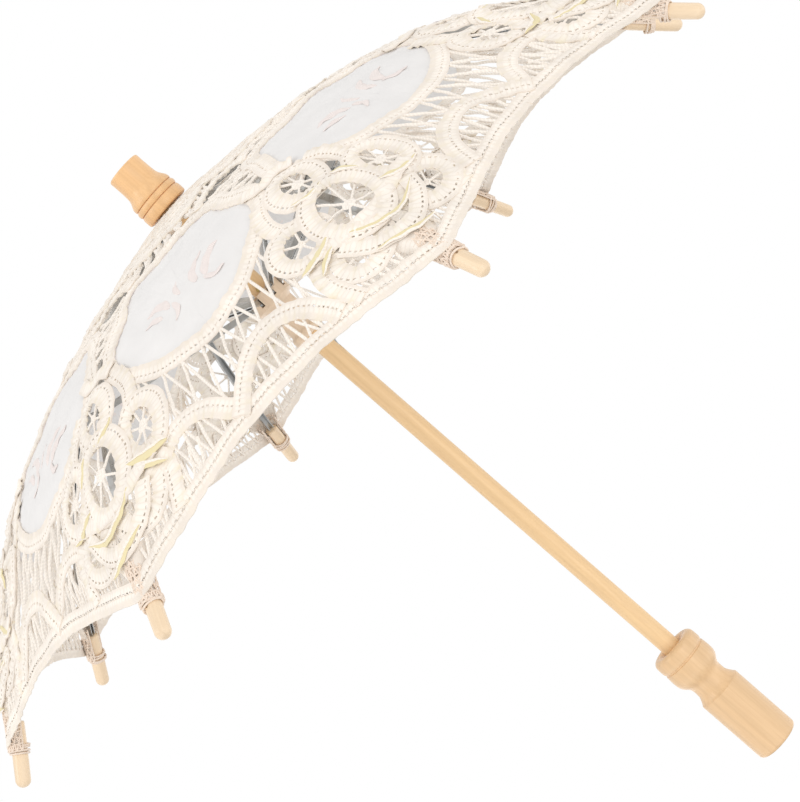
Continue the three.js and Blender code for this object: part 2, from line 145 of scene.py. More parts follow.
class Nodes:
    """A material's node tree, with short ways to add and link what this object's finishes need."""

    def __init__(self, name):
        self.material = bpy.data.materials.new(name)
        self.material.use_nodes = True
        self.tree = self.material.node_tree
        self.shader = self.tree.nodes["Principled BSDF"]

    def add(self, kind, **values):
        node = self.tree.nodes.new(kind)
        for name, value in values.items():
            if name in node.inputs:
                node.inputs[name].default_value = value
            else:
                setattr(node, name, value)
        return node

    def link(self, start, end):
        self.tree.links.new(start, end)

    def shade(self, **values):
        for name, value in values.items():
            self.shader.inputs[name.replace("_", " ")].default_value = value

    def maths(self, operation, first, second=None):
        node = self.add("ShaderNodeMath", operation=operation)
        for socket, value in zip(node.inputs, (first, second)):
            if value is None:
                continue
            if isinstance(value, (int, float)):
                socket.default_value = value
            else:
                self.link(value, socket)
        return node.outputs[0]

    def ramp(self, factor, stops):
        node = self.add("ShaderNodeValToRGB")
        edges = node.color_ramp.elements
        for place, shade in stops[2:]:
            edges.new(place)
        for edge, (place, shade) in zip(edges, stops):
            edge.position = place
            edge.color = (*shade, 1)
        self.link(factor, node.inputs["Fac"])
        return node.outputs["Color"]

    def mix(self, factor, first, second, blend="MIX"):
        node = self.add("ShaderNodeMix", data_type="RGBA", blend_type=blend)
        for socket, value in zip((node.inputs[0], node.inputs[6], node.inputs[7]), (factor, first, second)):
            if isinstance(value, (int, float)):
                socket.default_value = value
            elif isinstance(value, tuple):
                socket.default_value = (*value[:3], 1)
            else:
                self.link(value, socket)
        return node.outputs[2]

    def bump(self, height, distance, strength=1.0):
        node = self.add("ShaderNodeBump", Strength=strength, Distance=distance)
        self.link(height, node.inputs["Height"])
        self.link(node.outputs[0], self.shader.inputs["Normal"])


def tinted(shade, light):
    return tuple(min(channel * light, 1) for channel in shade)


def turned_wood(name, shade):
    """Pale straight-grained wood under a satin lacquer, its grain along the attribute's Z."""
    wood = Nodes(name)
    grain = wood.add("ShaderNodeAttribute", attribute_name="grain")
    mapping = wood.add("ShaderNodeMapping")
    mapping.inputs["Scale"].default_value = (1.0, 1.0, 0.045)
    wood.link(grain.outputs["Vector"], mapping.inputs["Vector"])
    fibres = wood.add("ShaderNodeTexNoise", Scale=900.0, Detail=4.0, Roughness=0.6)
    wood.link(mapping.outputs[0], fibres.inputs["Vector"])
    rings = wood.add("ShaderNodeTexWave", Scale=60.0, Distortion=7.0, Detail=3.0)
    rings.bands_direction = "X"
    wood.link(mapping.outputs[0], rings.inputs["Vector"])
    cloud = wood.add("ShaderNodeTexNoise", Scale=42.0, Detail=2.0)
    wood.link(grain.outputs["Vector"], cloud.inputs["Vector"])
    shade = tuple(shade)
    ringed = wood.ramp(rings.outputs["Fac"], [(0.0, tinted(shade, 0.955)), (0.8, tinted(shade, 1.03))])
    clouding = wood.maths("MULTIPLY", cloud.outputs["Fac"], 0.4)
    with_cloud = wood.mix(clouding, ringed, tinted(shade, 1.1))
    fibre_mask = wood.ramp(fibres.outputs["Fac"], [(0.3, (0.9, 0.87, 0.84)), (0.6, (1, 1, 1))])
    finished = wood.mix(0.75, with_cloud, fibre_mask, "MULTIPLY")
    wood.link(finished, wood.shader.inputs["Base Color"])
    wood.shade(Roughness=0.42, Coat_Weight=0.35, Coat_Roughness=0.22)
    wood.bump(fibres.outputs["Fac"], 0.00006, 0.6)
    return wood.material


def drawn_metal(name, shade, roughness):
    """Drawn wire or strip, a little stained, with fine streaks in its polish."""
    metal = Nodes(name)
    place = metal.add("ShaderNodeTexCoord")
    streaks = metal.add("ShaderNodeTexNoise", Scale=420.0, Detail=3.0)
    metal.link(place.outputs["Object"], streaks.inputs["Vector"])
    cloud = metal.add("ShaderNodeTexNoise", Scale=60.0, Detail=2.0)
    metal.link(place.outputs["Object"], cloud.inputs["Vector"])
    shade = tuple(shade)
    stained = metal.ramp(cloud.outputs["Fac"], [(0.3, tinted(shade, 0.7)), (0.65, tinted(shade, 1.15))])
    metal.link(stained, metal.shader.inputs["Base Color"])
    rough = metal.maths("MULTIPLY_ADD", streaks.outputs["Fac"], 0.25)
    rough.node.inputs[2].default_value = roughness - 0.12
    metal.link(rough, metal.shader.inputs["Roughness"])
    metal.shade(Metallic=1.0)
    metal.bump(streaks.outputs["Fac"], 0.00003, 0.5)
    return metal.material


def woven_tape(name, shade, fold_shade):
    """Closely woven cotton tape with drawn threads beside its hole row, painted yellow shade deep in its
    folds and painted shade in the hollows of its weave.
    """
    stitch_pitch, hole_row = settings("lace").stitch_pitch / MM, 3.4
    pick_pitch, end_pitch = 0.62, 0.7
    tape = Nodes(name)
    run = tape.add("ShaderNodeSeparateXYZ")
    flat = tape.add("ShaderNodeUVMap", uv_map="weave")
    tape.link(flat.outputs[0], run.inputs[0])
    along = run.outputs["X"]
    across = run.outputs["Y"]
    picks = tape.maths("SINE", tape.maths("MULTIPLY", along, math.tau / pick_pitch))
    ends = tape.maths("SINE", tape.maths("MULTIPLY", across, math.tau / end_pitch))
    weave = tape.maths("MULTIPLY", picks, ends)
    stitches = tape.maths("MULTIPLY", along, math.pi / stitch_pitch)
    hemstitch = tape.maths("ABSOLUTE", tape.maths("SINE", stitches))
    from_holes = tape.maths("ABSOLUTE", tape.maths("SUBTRACT", across, hole_row))
    beside = tape.ramp(tape.maths("MULTIPLY", from_holes, 0.36), [(0.45, (1, 1, 1)), (1.0, (0, 0, 0))])
    drawn = tape.maths("MULTIPLY", hemstitch, beside)
    height = tape.maths("ADD", tape.maths("MULTIPLY", weave, 0.3), drawn)
    place = tape.add("ShaderNodeTexCoord")
    cloud = tape.add("ShaderNodeTexNoise", Scale=70.0, Detail=3.0)
    tape.link(place.outputs["Object"], cloud.inputs["Vector"])
    shade = tuple(shade)
    base = tape.ramp(cloud.outputs["Fac"], [(0.3, tinted(shade, 0.93)), (0.65, tinted(shade, 1.05))])
    # Painted shade: the colour follows the bump's height, darker in the weave's hollows and lighter on the
    # raised drawn threads
    painted_weave_shade = tape.ramp(height, [(0.0, (0.9, 0.875, 0.85)), (0.5, (1, 1, 1))])
    with_weave_shade = tape.mix(0.85, base, painted_weave_shade, "MULTIPLY")
    # Painted shade: the attribute mixes in the yellow fold shade where a pleat dips
    painted_fold_shade = tape.add("ShaderNodeAttribute", attribute_name="painted_fold_shade")
    finished = tape.mix(painted_fold_shade.outputs["Fac"], with_weave_shade, tuple(fold_shade))
    tape.link(finished, tape.shader.inputs["Base Color"])
    tape.shade(Roughness=0.92, Sheen_Weight=0.25, Sheen_Roughness=0.5, Specular_IOR_Level=0.2)
    tape.bump(height, 0.00012, 0.42)
    return tape.material


def plain_cotton(name, shade):
    """Fine plain-woven cotton with a little crumple, its colour a little darker where the crumple dips:
    painted shade.
    """
    thread_turn = math.tau / 0.45
    cotton = Nodes(name)
    flat = cotton.add("ShaderNodeUVMap", uv_map="weave")
    run = cotton.add("ShaderNodeSeparateXYZ")
    cotton.link(flat.outputs[0], run.inputs[0])
    warp = cotton.maths("SINE", cotton.maths("MULTIPLY", run.outputs["X"], thread_turn))
    weft = cotton.maths("SINE", cotton.maths("MULTIPLY", run.outputs["Y"], thread_turn))
    weave = cotton.maths("MULTIPLY", warp, weft)
    place = cotton.add("ShaderNodeTexCoord")
    crumple = cotton.add("ShaderNodeTexNoise", Scale=75.0, Detail=2.0)
    cotton.link(place.outputs["Object"], crumple.inputs["Vector"])
    shade = tuple(shade)
    # Painted shade: the colour follows the crumple's bump, darker in its hollows
    base = cotton.ramp(crumple.outputs["Fac"], [(0.3, tinted(shade, 0.97)), (0.7, tinted(shade, 1.02))])
    cotton.link(base, cotton.shader.inputs["Base Color"])
    height = cotton.maths("ADD", cotton.maths("MULTIPLY", weave, 0.06), crumple.outputs["Fac"])
    cotton.shade(Roughness=0.9, Sheen_Weight=0.2, Sheen_Roughness=0.5, Specular_IOR_Level=0.2)
    cotton.bump(height, 0.0006, 0.5)
    return cotton.material


def twisted_thread(name, shade, pitch):
    """Two-ply thread, the twist running round it, its colour darker in the grooves between the plies:
    painted shade.
    """
    thread = Nodes(name)
    flat = thread.add("ShaderNodeUVMap", uv_map="weave")
    run = thread.add("ShaderNodeSeparateXYZ")
    thread.link(flat.outputs[0], run.inputs[0])
    turn = thread.maths("MULTIPLY", run.outputs["X"], math.tau / pitch)
    round_it = thread.maths("MULTIPLY", run.outputs["Y"], math.tau)
    twist = thread.maths("SINE", thread.maths("ADD", turn, round_it))
    shade = tuple(shade)
    # Painted shade: the colour follows the twist's bump, darker in its grooves
    base = thread.ramp(twist, [(0.0, tinted(shade, 0.95)), (0.5, tinted(shade, 1.02))])
    thread.link(base, thread.shader.inputs["Base Color"])
    thread.shade(Roughness=0.85, Sheen_Weight=0.25, Sheen_Roughness=0.5, Specular_IOR_Level=0.25)
    thread.bump(twist, 0.0001, 0.5)
    return thread.material


def finish(name, kind, *facts):
    """The material of that name, made on its first use."""
    makers = {
        "wood": turned_wood,
        "metal": drawn_metal,
        "tape": woven_tape,
        "cotton": plain_cotton,
        "thread": twisted_thread,
    }
    return bpy.data.materials.get(name) or makers[kind](name, *facts)


# ------------------------------------------------------------------------------- working with operators


def deselect():
    bpy.ops.object.select_all(action="DESELECT")


def only(piece):
    deselect()
    piece.select_set(True)
    bpy.context.view_layer.objects.active = piece


def apply_modifiers(piece):
    only(piece)
    for modifier in list(piece.modifiers):
        bpy.ops.object.modifier_apply(modifier=modifier.name)


def set_material(piece, material):
    piece.data.materials.clear()
    piece.data.materials.append(material)


def recalculate(piece):
    only(piece)
    bpy.ops.object.mode_set(mode="EDIT")
    bpy.ops.mesh.select_all(action="SELECT")
    bpy.ops.mesh.remove_doubles(threshold=1e-6)
    bpy.ops.mesh.normals_make_consistent(inside=False)
    bpy.ops.object.mode_set(mode="OBJECT")


def keep_grain(piece):
    """Stores where each point stands before the piece is laid in place, for the grain to follow."""
    places = np.empty(len(piece.data.vertices) * 3, np.float32)
    piece.data.vertices.foreach_get("co", places)
    grain = piece.data.attributes.new("grain", "FLOAT_VECTOR", "POINT")
    grain.data.foreach_set("vector", places)


def thickened(piece, thickness):
    """Gives a sheet its thickness in mm, half of it on each side."""
    wall = piece.modifiers.new("thickness", "SOLIDIFY")
    wall.thickness = thickness * MM
    wall.offset = 0
    apply_modifiers(piece)


def smooth(piece, degrees=38):
    only(piece)
    bpy.ops.object.shade_smooth_by_angle(angle=math.radians(degrees))


def turned_piece(name, outline, sides=72):
    """Raises a round blank from its foot, one station of the outline after another."""
    deselect()
    radius, height = outline[0]
    bpy.ops.mesh.primitive_circle_add(
        vertices=sides, radius=radius * MM, fill_type="NGON", location=(0, 0, height * MM)
    )
    piece = bpy.context.object
    piece.name = piece.data.name = name
    only(piece)
    bpy.ops.object.transform_apply(location=True, rotation=True, scale=True)
    bpy.ops.object.mode_set(mode="EDIT")
    bpy.ops.mesh.select_all(action="SELECT")
    for next_radius, next_height in outline[1:]:
        rise = (0, 0, (next_height - height) * MM)
        bpy.ops.mesh.extrude_region_move(TRANSFORM_OT_translate={"value": rise})
        share = next_radius / radius
        bpy.ops.transform.resize(value=(share, share, 1), center_override=(0, 0, next_height * MM))
        radius, height = next_radius, next_height
    bpy.ops.object.mode_set(mode="OBJECT")
    recalculate(piece)
    return piece


def arc(centre, radius, start, end, steps):
    """Points of an arc in an outline, its angles in degrees from level."""
    turns = [math.radians(start + (end - start) * i / steps) for i in range(steps + 1)]
    return [(centre[0] + radius * math.cos(turn), centre[1] + radius * math.sin(turn)) for turn in turns]


def copied(piece, name):
    twin = piece.copy()
    twin.data = piece.data.copy()
    twin.name = twin.data.name = name
    bpy.context.collection.objects.link(twin)
    return twin


def rib_turn(k):
    return math.radians(360 / RIBS * (k - 1))


def turned_about_shaft(piece, k):
    piece.data.transform(Matrix.Rotation(rib_turn(k), 4, "Z"))
    return piece


# --------------------------------------------------------------------------------------- the lace's dome


class Dome:
    """The surface that the lace lies on: places along a rib in mm, turns from it in degrees, and lifts."""

    def __init__(self):
        sizes, lace = settings("frame"), settings("lace")
        hinge = np.array([sizes.hinge_radius, sizes.hinge_height]) / MM
        tip_end = np.array([sizes.tip_radius, sizes.tip_height]) / MM
        first = np.array([math.cos(sizes.start_slope), -math.sin(sizes.start_slope)])
        last = np.array([math.cos(sizes.end_slope), -math.sin(sizes.end_slope)])
        self.tip_start = tip_end - last * sizes.tip_length / MM
        self.tip_end = tip_end
        self.tip_direction = last
        self.bow_start = hinge + first * sizes.blade_length / MM
        inner = self.bow_start + first * sizes.inner_pull / MM
        outer = self.tip_start - last * sizes.outer_pull / MM
        share = np.linspace(0, 1, 2001)[:, None]
        bow = (1 - share) ** 3 * self.bow_start + 3 * (1 - share) ** 2 * share * inner
        bow = bow + 3 * (1 - share) * share**2 * outer + share**3 * self.tip_start
        steps = np.hypot(*np.diff(bow, axis=0).T)
        self.bow = bow
        self.run = np.concatenate([[0], np.cumsum(steps)])
        self.length = self.run[-1]
        self.heading = np.gradient(bow, self.run, axis=0)
        self.heading /= np.linalg.norm(self.heading, axis=1)[:, None]
        self.start = lace.start_radius / MM - self.bow_start[0]
        self.hem = self.length + (sizes.tip_length - lace.bare_tip) / MM
        self.scallop = lace.scallop / MM / self.length
        self.lift = lace.lift / MM
        self.pocket_lift = lace.pocket_lift / MM
        self.flatness = lace.flatness

    def line(self, along):
        """Distance from the shaft and height of places along a rib, and its direction there."""
        inside = np.clip(along, 0, self.length)
        x, z = (np.interp(inside, self.run, self.bow[:, i]) for i in (0, 1))
        ahead, down = (np.interp(inside, self.run, self.heading[:, i]) for i in (0, 1))
        beyond = along - inside
        return x + beyond * ahead, z + beyond * down, ahead, down

    def radius(self, along):
        return self.line(np.asarray(along, float))[0]

    def shortening(self, turn):
        """The canopy's reach between two ribs as a share of its reach on them."""
        return 1 - self.scallop * np.abs(np.sin(np.radians(np.asarray(turn) * 90 / HALF_GORE)))

    def hem_at(self, turn):
        """How far along the hem lies at a turn from the rib."""
        return self.start + (self.hem - self.start) * self.shortening(turn)

    def place(self, turn, along, lift):
        """Points in metres, beside the first rib. Near the hem the lace climbs onto the wooden tips."""
        x, z, ahead, down = self.line(along)
        share = (along - self.start) / (self.hem - self.start) / self.shortening(turn)
        share = np.clip(share, 0, 1.1)
        climb_start, climb = 0.75, 0.15
        rise = np.clip((share - climb_start) / climb, 0, 1)
        level = self.lift + lift + self.pocket_lift * rise * rise * (3 - 2 * rise)
        x, z = x - down * level, z + ahead * level
        half = math.radians(HALF_GORE)
        chord = math.cos(half) / np.cos(half - np.abs(np.radians(turn)))
        x = x * (1 - self.flatness * share * (1 - chord))
        angle = np.radians(turn)
        return np.stack([x * np.cos(angle), x * np.sin(angle), z], -1) * MM


# ------------------------------------------------------------------------------------- the lace's pattern


def smoothed(points, after, lean, lean_after):
    """Twelve places from each point towards the one after it, with the directions at both."""
    steps = np.linspace(0, 1, 12, endpoint=False)[:, None, None]
    cube, square = steps**3, steps**2
    curve = (2 * cube - 3 * square + 1) * points + (cube - 2 * square + steps) * lean
    curve = curve + (3 * square - 2 * cube) * after + (cube - square) * lean_after
    return curve.transpose(1, 0, 2).reshape(-1, 2)


def closed_curve(points):
    """A smooth closed line through a few points."""
    points = np.array(points, float)
    before, after, beyond = (np.roll(points, shift, 0) for shift in (1, -1, -2))
    return smoothed(points, after, (after - before) / 2, (beyond - points) / 2)


def open_curve(points):
    """A smooth line from the first of a few points to the last."""
    points = np.array(points, float)
    lean = np.gradient(points, axis=0)
    return np.vstack([smoothed(points[:-1], points[1:], lean[:-1], lean[1:]), points[-1:]])


def on_side(points, side):
    """A smooth line on one side of a rib, a tape's left edge being the same on both sides."""
    return open_curve([(x * side, y) for x, y in points])[::side]


def evenly(points, pitch, closed, multiple=2):
    """The same line in equal steps of about the pitch."""
    line = np.vstack([points, points[:1]]) if closed else points
    run = np.concatenate([[0], np.cumsum(np.hypot(*np.diff(line, axis=0).T))])
    count = max(multiple, multiple * round(run[-1] / pitch / multiple))
    at = np.linspace(0, run[-1], count + 1)
    spread = np.stack([np.interp(at, run, line[:, i]) for i in (0, 1)], -1)
    return (spread[:-1] if closed else spread), run[-1]


def leftward(line, closed):
    """The unit normals on the left of a line, its direction of travel being ahead."""
    if closed:
        ahead = np.roll(line, -1, 0) - np.roll(line, 1, 0)
    else:
        ahead = np.gradient(line, axis=0)
    ahead = ahead / np.maximum(np.linalg.norm(ahead, axis=1), 1e-9)[:, None]
    return np.stack([-ahead[:, 1], ahead[:, 0]], -1)


def loop(across, along, half_width, half_length, turn=0.0):
    """An oval round a place of the pattern."""
    angle = np.linspace(0, math.tau, LOOP_POINTS, endpoint=False)
    x, y = half_width * np.cos(angle), half_length * np.sin(angle)
    cosine, sine = math.cos(math.radians(turn)), math.sin(math.radians(turn))
    rotated = np.stack([x * cosine - y * sine, x * sine + y * cosine], -1)
    return rotated + [across, along]


class LaceWork:
    """Flat pieces of one make of cloth or thread, gathered to become one mesh."""

    def __init__(self, dome):
        self.dome = dome
        self.points = []
        self.lifts = []
        self.turns = []
        self.folds = []
        self.faces = []
        self.corners = []
        self.count = 0
        self.area = 0.0
        self.kept = 1.0  # the share of a piece that stays on this eighth

    def add(self, points, lifts, base_turn, faces, corners, painted_fold_shade=0.0):
        points = points.reshape(-1, 2)
        self.turns.append(base_turn + np.degrees(points[:, 0] / self.dome.radius(points[:, 1])))
        self.points.append(points[:, 1])
        self.lifts.append(np.broadcast_to(lifts, (len(points),)).astype(float))
        self.folds.append(np.broadcast_to(painted_fold_shade, (len(points),)).astype(float))
        self.faces.extend((faces + self.count).tolist())
        self.corners.append(corners.reshape(-1, 2))
        self.count += len(points)

    def tape(
        self, line, base_turn, lift, width, closed=True, holes=0.27, pucker=0.0, wave=4.0, tilt=0.0
    ):
        """A tape along a line. Its hole row is a share of its width in from its left edge."""
        pitch = settings("lace").stitch_pitch / MM / 2
        line, run = evenly(line, pitch, closed)
        normals = leftward(line, closed)
        stations = np.array([0.5, 0.44, 0.5 - holes + 0.05, 0.5 - holes - 0.05, 0.05, -0.2, -0.42, -0.5])
        if holes == 0:
            stations = np.linspace(0.5, -0.5, 7)
        count, columns = len(line), len(stations)
        grid = line[:, None] + normals[:, None] * stations[None, :, None] * width
        places = np.arange(count) * pitch
        inner = (0.5 - stations) ** 1.5
        gathers = np.sin(places * math.tau / wave + 1.7 * np.sin(places * 0.31))
        gathers = (gathers + 0.3 * np.sin(places * 2.3 + 2 * np.sin(places * 0.47))) * pucker
        crown = 0.12 * np.cos(stations * math.pi)
        lifts = lift + gathers[:, None] * inner + crown + tilt * stations
        # Painted shade: how much yellow shade each place gets where its pleat dips
        deep = np.clip(-gathers[:, None] * inner * 0.8, 0, 1)
        steps = count if closed else count - 1
        i, j = np.meshgrid(np.arange(steps), np.arange(columns - 1), indexing="ij")
        if holes:
            kept = ~((j == 2) & (i % 2 == 0))
            i, j = i[kept], j[kept]
        i, j = i.ravel(), j.ravel()
        here, ahead = i * columns + j, (i + 1) % count * columns + j
        faces = np.stack([here, ahead, ahead + 1, here + 1], -1)
        along = np.stack([i, i + 1, i + 1, i], -1) * pitch
        across = (0.5 - stations)[np.stack([j, j, j + 1, j + 1], -1)] * width
        self.add(grid, lifts.ravel(), base_turn, faces, np.stack([along, across], -1), deep.ravel())
        self.area += run * width * self.kept

    def cloth(self, outline, base_turn, lift):
        """A panel filling a closed outline, swelling a little in its middle."""
        rings, billow = 12, 0.8
        outline, _run = evenly(outline, 2.6, True)
        centre = outline.mean(0)
        share = np.linspace(0, 1, rings + 1)[1:]
        grid = centre + share[:, None, None] * (outline - centre)
        points = np.vstack([[centre], grid.reshape(-1, 2)])
        swell = np.concatenate([[1], np.repeat(1 - share**2, len(outline))]) * billow
        i, j = np.meshgrid(np.arange(rings - 1), np.arange(len(outline)), indexing="ij")
        i, j = i.ravel(), j.ravel()
        beside = (j + 1) % len(outline)
        inner, outer = 1 + i * len(outline), 1 + (i + 1) * len(outline)
        faces = np.stack([inner + j, inner + beside, outer + beside, outer + j], -1)
        middle = np.arange(len(outline))
        hub = np.stack([np.zeros_like(middle), 1 + (middle + 1) % len(outline), 1 + middle], -1)
        if np.cross(outline[1] - outline[0], centre - outline[0]) <= 0:
            faces, hub = faces[:, ::-1], hub[:, ::-1]
        self.add(points, lift + swell, base_turn, faces, points[faces])
        self.faces.extend((hub + self.count - len(points)).tolist())
        self.corners.append(points[hub].reshape(-1, 2))
        x, y = outline.T
        self.area += abs(np.sum(x * np.roll(y, -1) - y * np.roll(x, -1))) / 2 * self.kept

    def cord(self, line, base_turn, lift, half_width, half_height=None, closed=False, sides=6, pitch=2.2):
        """A round or crowned cord along a line, its lift and widths single values or one for each point."""
        half_height = half_width if half_height is None else half_height
        given = len(line)
        lift, half_width, half_height = (
            np.broadcast_to(value, (given,)).astype(float) for value in (lift, half_width, half_height)
        )
        even, run = evenly(np.asarray(line, float), pitch, closed, 1)
        shares = np.linspace(0, given - 1, len(even))
        values = [np.interp(shares, np.arange(given), value) for value in (lift, half_width, half_height)]
        normals = leftward(even, closed)
        angle = np.arange(sides) * math.tau / sides
        grid = even[:, None] + normals[:, None] * (np.cos(angle)[None, :] * values[1][:, None])[..., None]
        lifts = values[0][:, None] + np.sin(angle)[None, :] * values[2][:, None]
        count = len(even)
        steps = count if closed else count - 1
        i, j = np.meshgrid(np.arange(steps), np.arange(sides), indexing="ij")
        i, j = i.ravel(), j.ravel()
        here, ahead, beside = i * sides, (i + 1) % count * sides, (j + 1) % sides
        faces = np.stack([here + j, ahead + j, ahead + beside, here + beside], -1)
        step = run / max(steps, 1)
        along = np.stack([i, i + 1, i + 1, i], -1) * step
        around = np.stack([j, j, j + 1, j + 1], -1) / sides
        self.add(grid, lifts.ravel(), base_turn, faces, np.stack([along, around], -1))
        if not closed:
            first = self.count - count * sides
            for ring, order in ((first, 1), (self.count - sides, -1)):
                self.faces.append([ring + k for k in range(sides)][::order])
                self.corners.append(np.zeros((sides, 2)))

    def mesh(self, name, crumple):
        """The pieces laid over the dome beside the first rib, with the crumple that their places give."""
        turn, along, lift = (np.concatenate(values) for values in (self.turns, self.points, self.lifts))
        places = self.dome.place(turn, along, lift + crumple(turn, along))
        mesh = bpy.data.meshes.new(name)
        mesh.from_pydata(places.tolist(), [], self.faces)
        weave = mesh.uv_layers.new(name="weave")
        weave.data.foreach_set("uv", np.concatenate(self.corners).astype(np.float32).ravel())
        # The amount of painted fold shade at each point, read by the tape's material
        painted_fold_shade = mesh.attributes.new("painted_fold_shade", "FLOAT", "POINT")
        painted_fold_shade.data.foreach_set("value", np.clip(np.concatenate(self.folds), 0, 1).astype(np.float32))
        return mesh


def trimmed_to_gore(mesh, close_ends):
    """Cuts a mesh off at the gore middles on both sides of the first rib."""
    work = bmesh.new()
    work.from_mesh(mesh)
    if close_ends:
        bmesh.ops.recalc_face_normals(work, faces=work.faces)
    for side in (-1, 1):
        edge = math.radians(side * HALF_GORE)
        outward = Vector((-math.sin(edge), math.cos(edge), 0)) * side
        everything = work.verts[:] + work.edges[:] + work.faces[:]
        cut = bmesh.ops.bisect_plane(
            work, geom=everything, plane_co=(0, 0, 0), plane_no=outward, clear_outer=True
        )
        if close_ends:
            rims = [part for part in cut["geom_cut"] if isinstance(part, bmesh.types.BMEdge)]
            bmesh.ops.holes_fill(work, edges=rims, sides=0)
    work.to_mesh(mesh)
    work.free()


# The pattern's places are (across, along) in mm: across from the middle of a gore or from a rib, and along
# the rib from the start of its bow, towards the hem.

# The right half of a cotton panel, from its foot to its neck
PANEL = [(0, 152.5), (17, 148.5), (31, 139.5), (40.5, 127), (41.5, 115.5)]
PANEL += [(35.5, 104.5), (29.5, 95), (26.5, 87), (20, 80.5), (9, 79.5)]
NECK = (0, 79.3)


def panel_outline(width, shift):
    """The cotton panel of one gore: a narrow neck that opens into a round foot."""
    right = [(x * width, y + shift) for x, y in PANEL]
    left = [(-x * width, y + shift) for x, y in reversed(PANEL) if x > 0]
    return closed_curve(right + [(NECK[0], NECK[1] + shift)] + left)


# Each petal's place across and along, half width, half length and turn
PETALS = {
    "full": [(0, 138, 9, 12.5, 0), (-21, 165, 10, 11.5, 12), (22.5, 166, 8.5, 14.5, -10)],
    "leaning": [(2, 133.5, 7.5, 9.5, 0), (26, 161, 10, 13, -8), (-17, 163, 9.5, 15, 8)],
    "even": [(-1, 137, 8.5, 11, 0), (23, 164, 9.5, 13, -14), (-23, 163, 9.5, 13, 14)],
}
PETALS["full"] += [(-14, 190, 10.5, 9.5, -30), (20, 192, 11, 10.5, 20), (-1, 169.5, 13, 18.5, 3)]
PETALS["leaning"] += [(12.5, 185, 10.5, 10.5, -25), (-13, 188, 10.5, 9.5, 25), (4, 160, 10.5, 16, 5)]
PETALS["even"] += [(14, 188, 10.5, 10, 25), (-15, 190, 10.5, 10, -25), (0, 166, 12, 17, -4)]

PETAL_LIFTS = (1.3, 1.6, 1.7, 1.0, 1.2, 2.3)

ARCHES = {
    "paired": [
        [(-46, 186), (-38, 180), (-28, 179.5), (-19, 184), (-12, 193), (-6, 199)],
        [(-11, 199), (-3, 190), (8, 181), (20, 181), (30, 187), (37, 197), (39.5, 203)],
    ],
    "centred": [
        [(-45, 183), (-34, 184), (-25, 189), (-18, 199)],
        [(-20, 200), (-13, 189), (0, 184.5), (13, 189), (19, 200)],
        [(17, 199), (25, 190), (34, 185), (45, 185)],
    ],
}

# Short tapes beside a rib, from the crown to the hem
BRIDGE = [(-15, 73), (-9, 66.5), (0, 64.5), (9, 66.5), (15, 73)]
FOLDED_TAPE = [(-10, 112), (-4, 118), (4, 117), (10, 122)]
SIDE_TAPE = [(13, 127), (18, 137), (19.5, 147), (15.5, 156)]
CROSSING = [(-25, 176), (-12, 180.5), (0, 182.5), (12, 180.5), (26, 177)]
POST = [(23, 177), (28.5, 185), (30, 194), (28, 206)]
CUP = [(-17, 183), (-9, 196), (4, 200), (14, 193), (18, 184)]

# Raised stitches of a panel: a line and the half width of its thickest place
SPRAY = [
    ([(-9, 125.5), (-11, 119.5), (-15.5, 116), (-20, 116.5)], 1.2),
    ([(-14, 127), (-18, 122.5), (-23, 122)], 0.9),
    ([(6.5, 128), (6.5, 121.5), (9.5, 116.5), (14.5, 113.5)], 1.2),
    ([(11.5, 129), (13, 123.5), (17.5, 119.5), (23, 118.5)], 1.4),
    ([(-2, 125), (-3, 119.5), (-1, 114.5)], 0.8),
    ([(-7, 125), (-6, 130.5), (-9.5, 135)], 0.8),
    ([(10, 128.5), (14, 133.5), (20, 134.5)], 0.8),
]

# Where a flower's tapes are folded over, with painted yellow shade in the crease: a line and the half width
# of its deepest place
CREASES = [
    ([(-32, 179.5), (-23, 177.5), (-13, 172.5)], 1.6),
    ([(-29, 186.5), (-22, 181.5), (-15, 178.5)], 0.9),
    ([(-12, 181), (-4, 188.5), (6, 191.5), (18, 186)], 1.05),
    ([(12, 174), (20, 179.5), (29, 180)], 1.1),
    ([(-11, 197.5), (0, 203), (9, 205.5)], 0.85),
    ([(-9, 147), (-3, 151), (5, 149.5)], 0.9),
    ([(8, 151), (13, 156), (15, 160.5)], 0.9),
]


def mirrored(lines):
    return [[(-x, y) for x, y in line] for line in lines]


class Gore:
    """What lies between two ribs. One differs from the next as hand work does."""

    def __init__(self, number):
        self.draw = np.random.default_rng(40 + number)
        self.panel_width = (1.0, 0.93, 0.97)[number % 3]
        self.panel_shift = (1, 0, 2.5)[number % 3]
        self.arches = (ARCHES["paired"], ARCHES["centred"], mirrored(ARCHES["paired"]))[(number + 2) % 3]
        outline = panel_outline(self.panel_width, self.panel_shift)
        normals = leftward(outline, True)
        if np.dot(normals[0], outline.mean(0) - outline[0]) > 0:
            outline, normals = outline[::-1], -normals[::-1]
        self.outline = outline
        self.outward = normals

    def border(self, distance):
        """The panel's outline, moved outwards."""
        return self.outline + self.outward * distance

    def foot(self, across, line):
        """How far along the lower part of a closed line is at a place across."""
        widest = 112
        lower = line[line[:, 1] > widest]
        order = np.argsort(lower[:, 0])
        return np.interp(across, lower[order, 0], lower[order, 1])

    def arch_top(self, across):
        """Where the arches, or else the hem, stand below a place across."""
        hem, nowhere = 197.0, 999
        tops = np.full(len(across), hem)
        for arch in self.arches:
            line = open_curve(arch)
            order = np.argsort(line[:, 0])
            height = np.interp(across, line[order, 0], line[order, 1], left=nowhere, right=nowhere)
            tops = np.minimum(tops, height)
        return tops


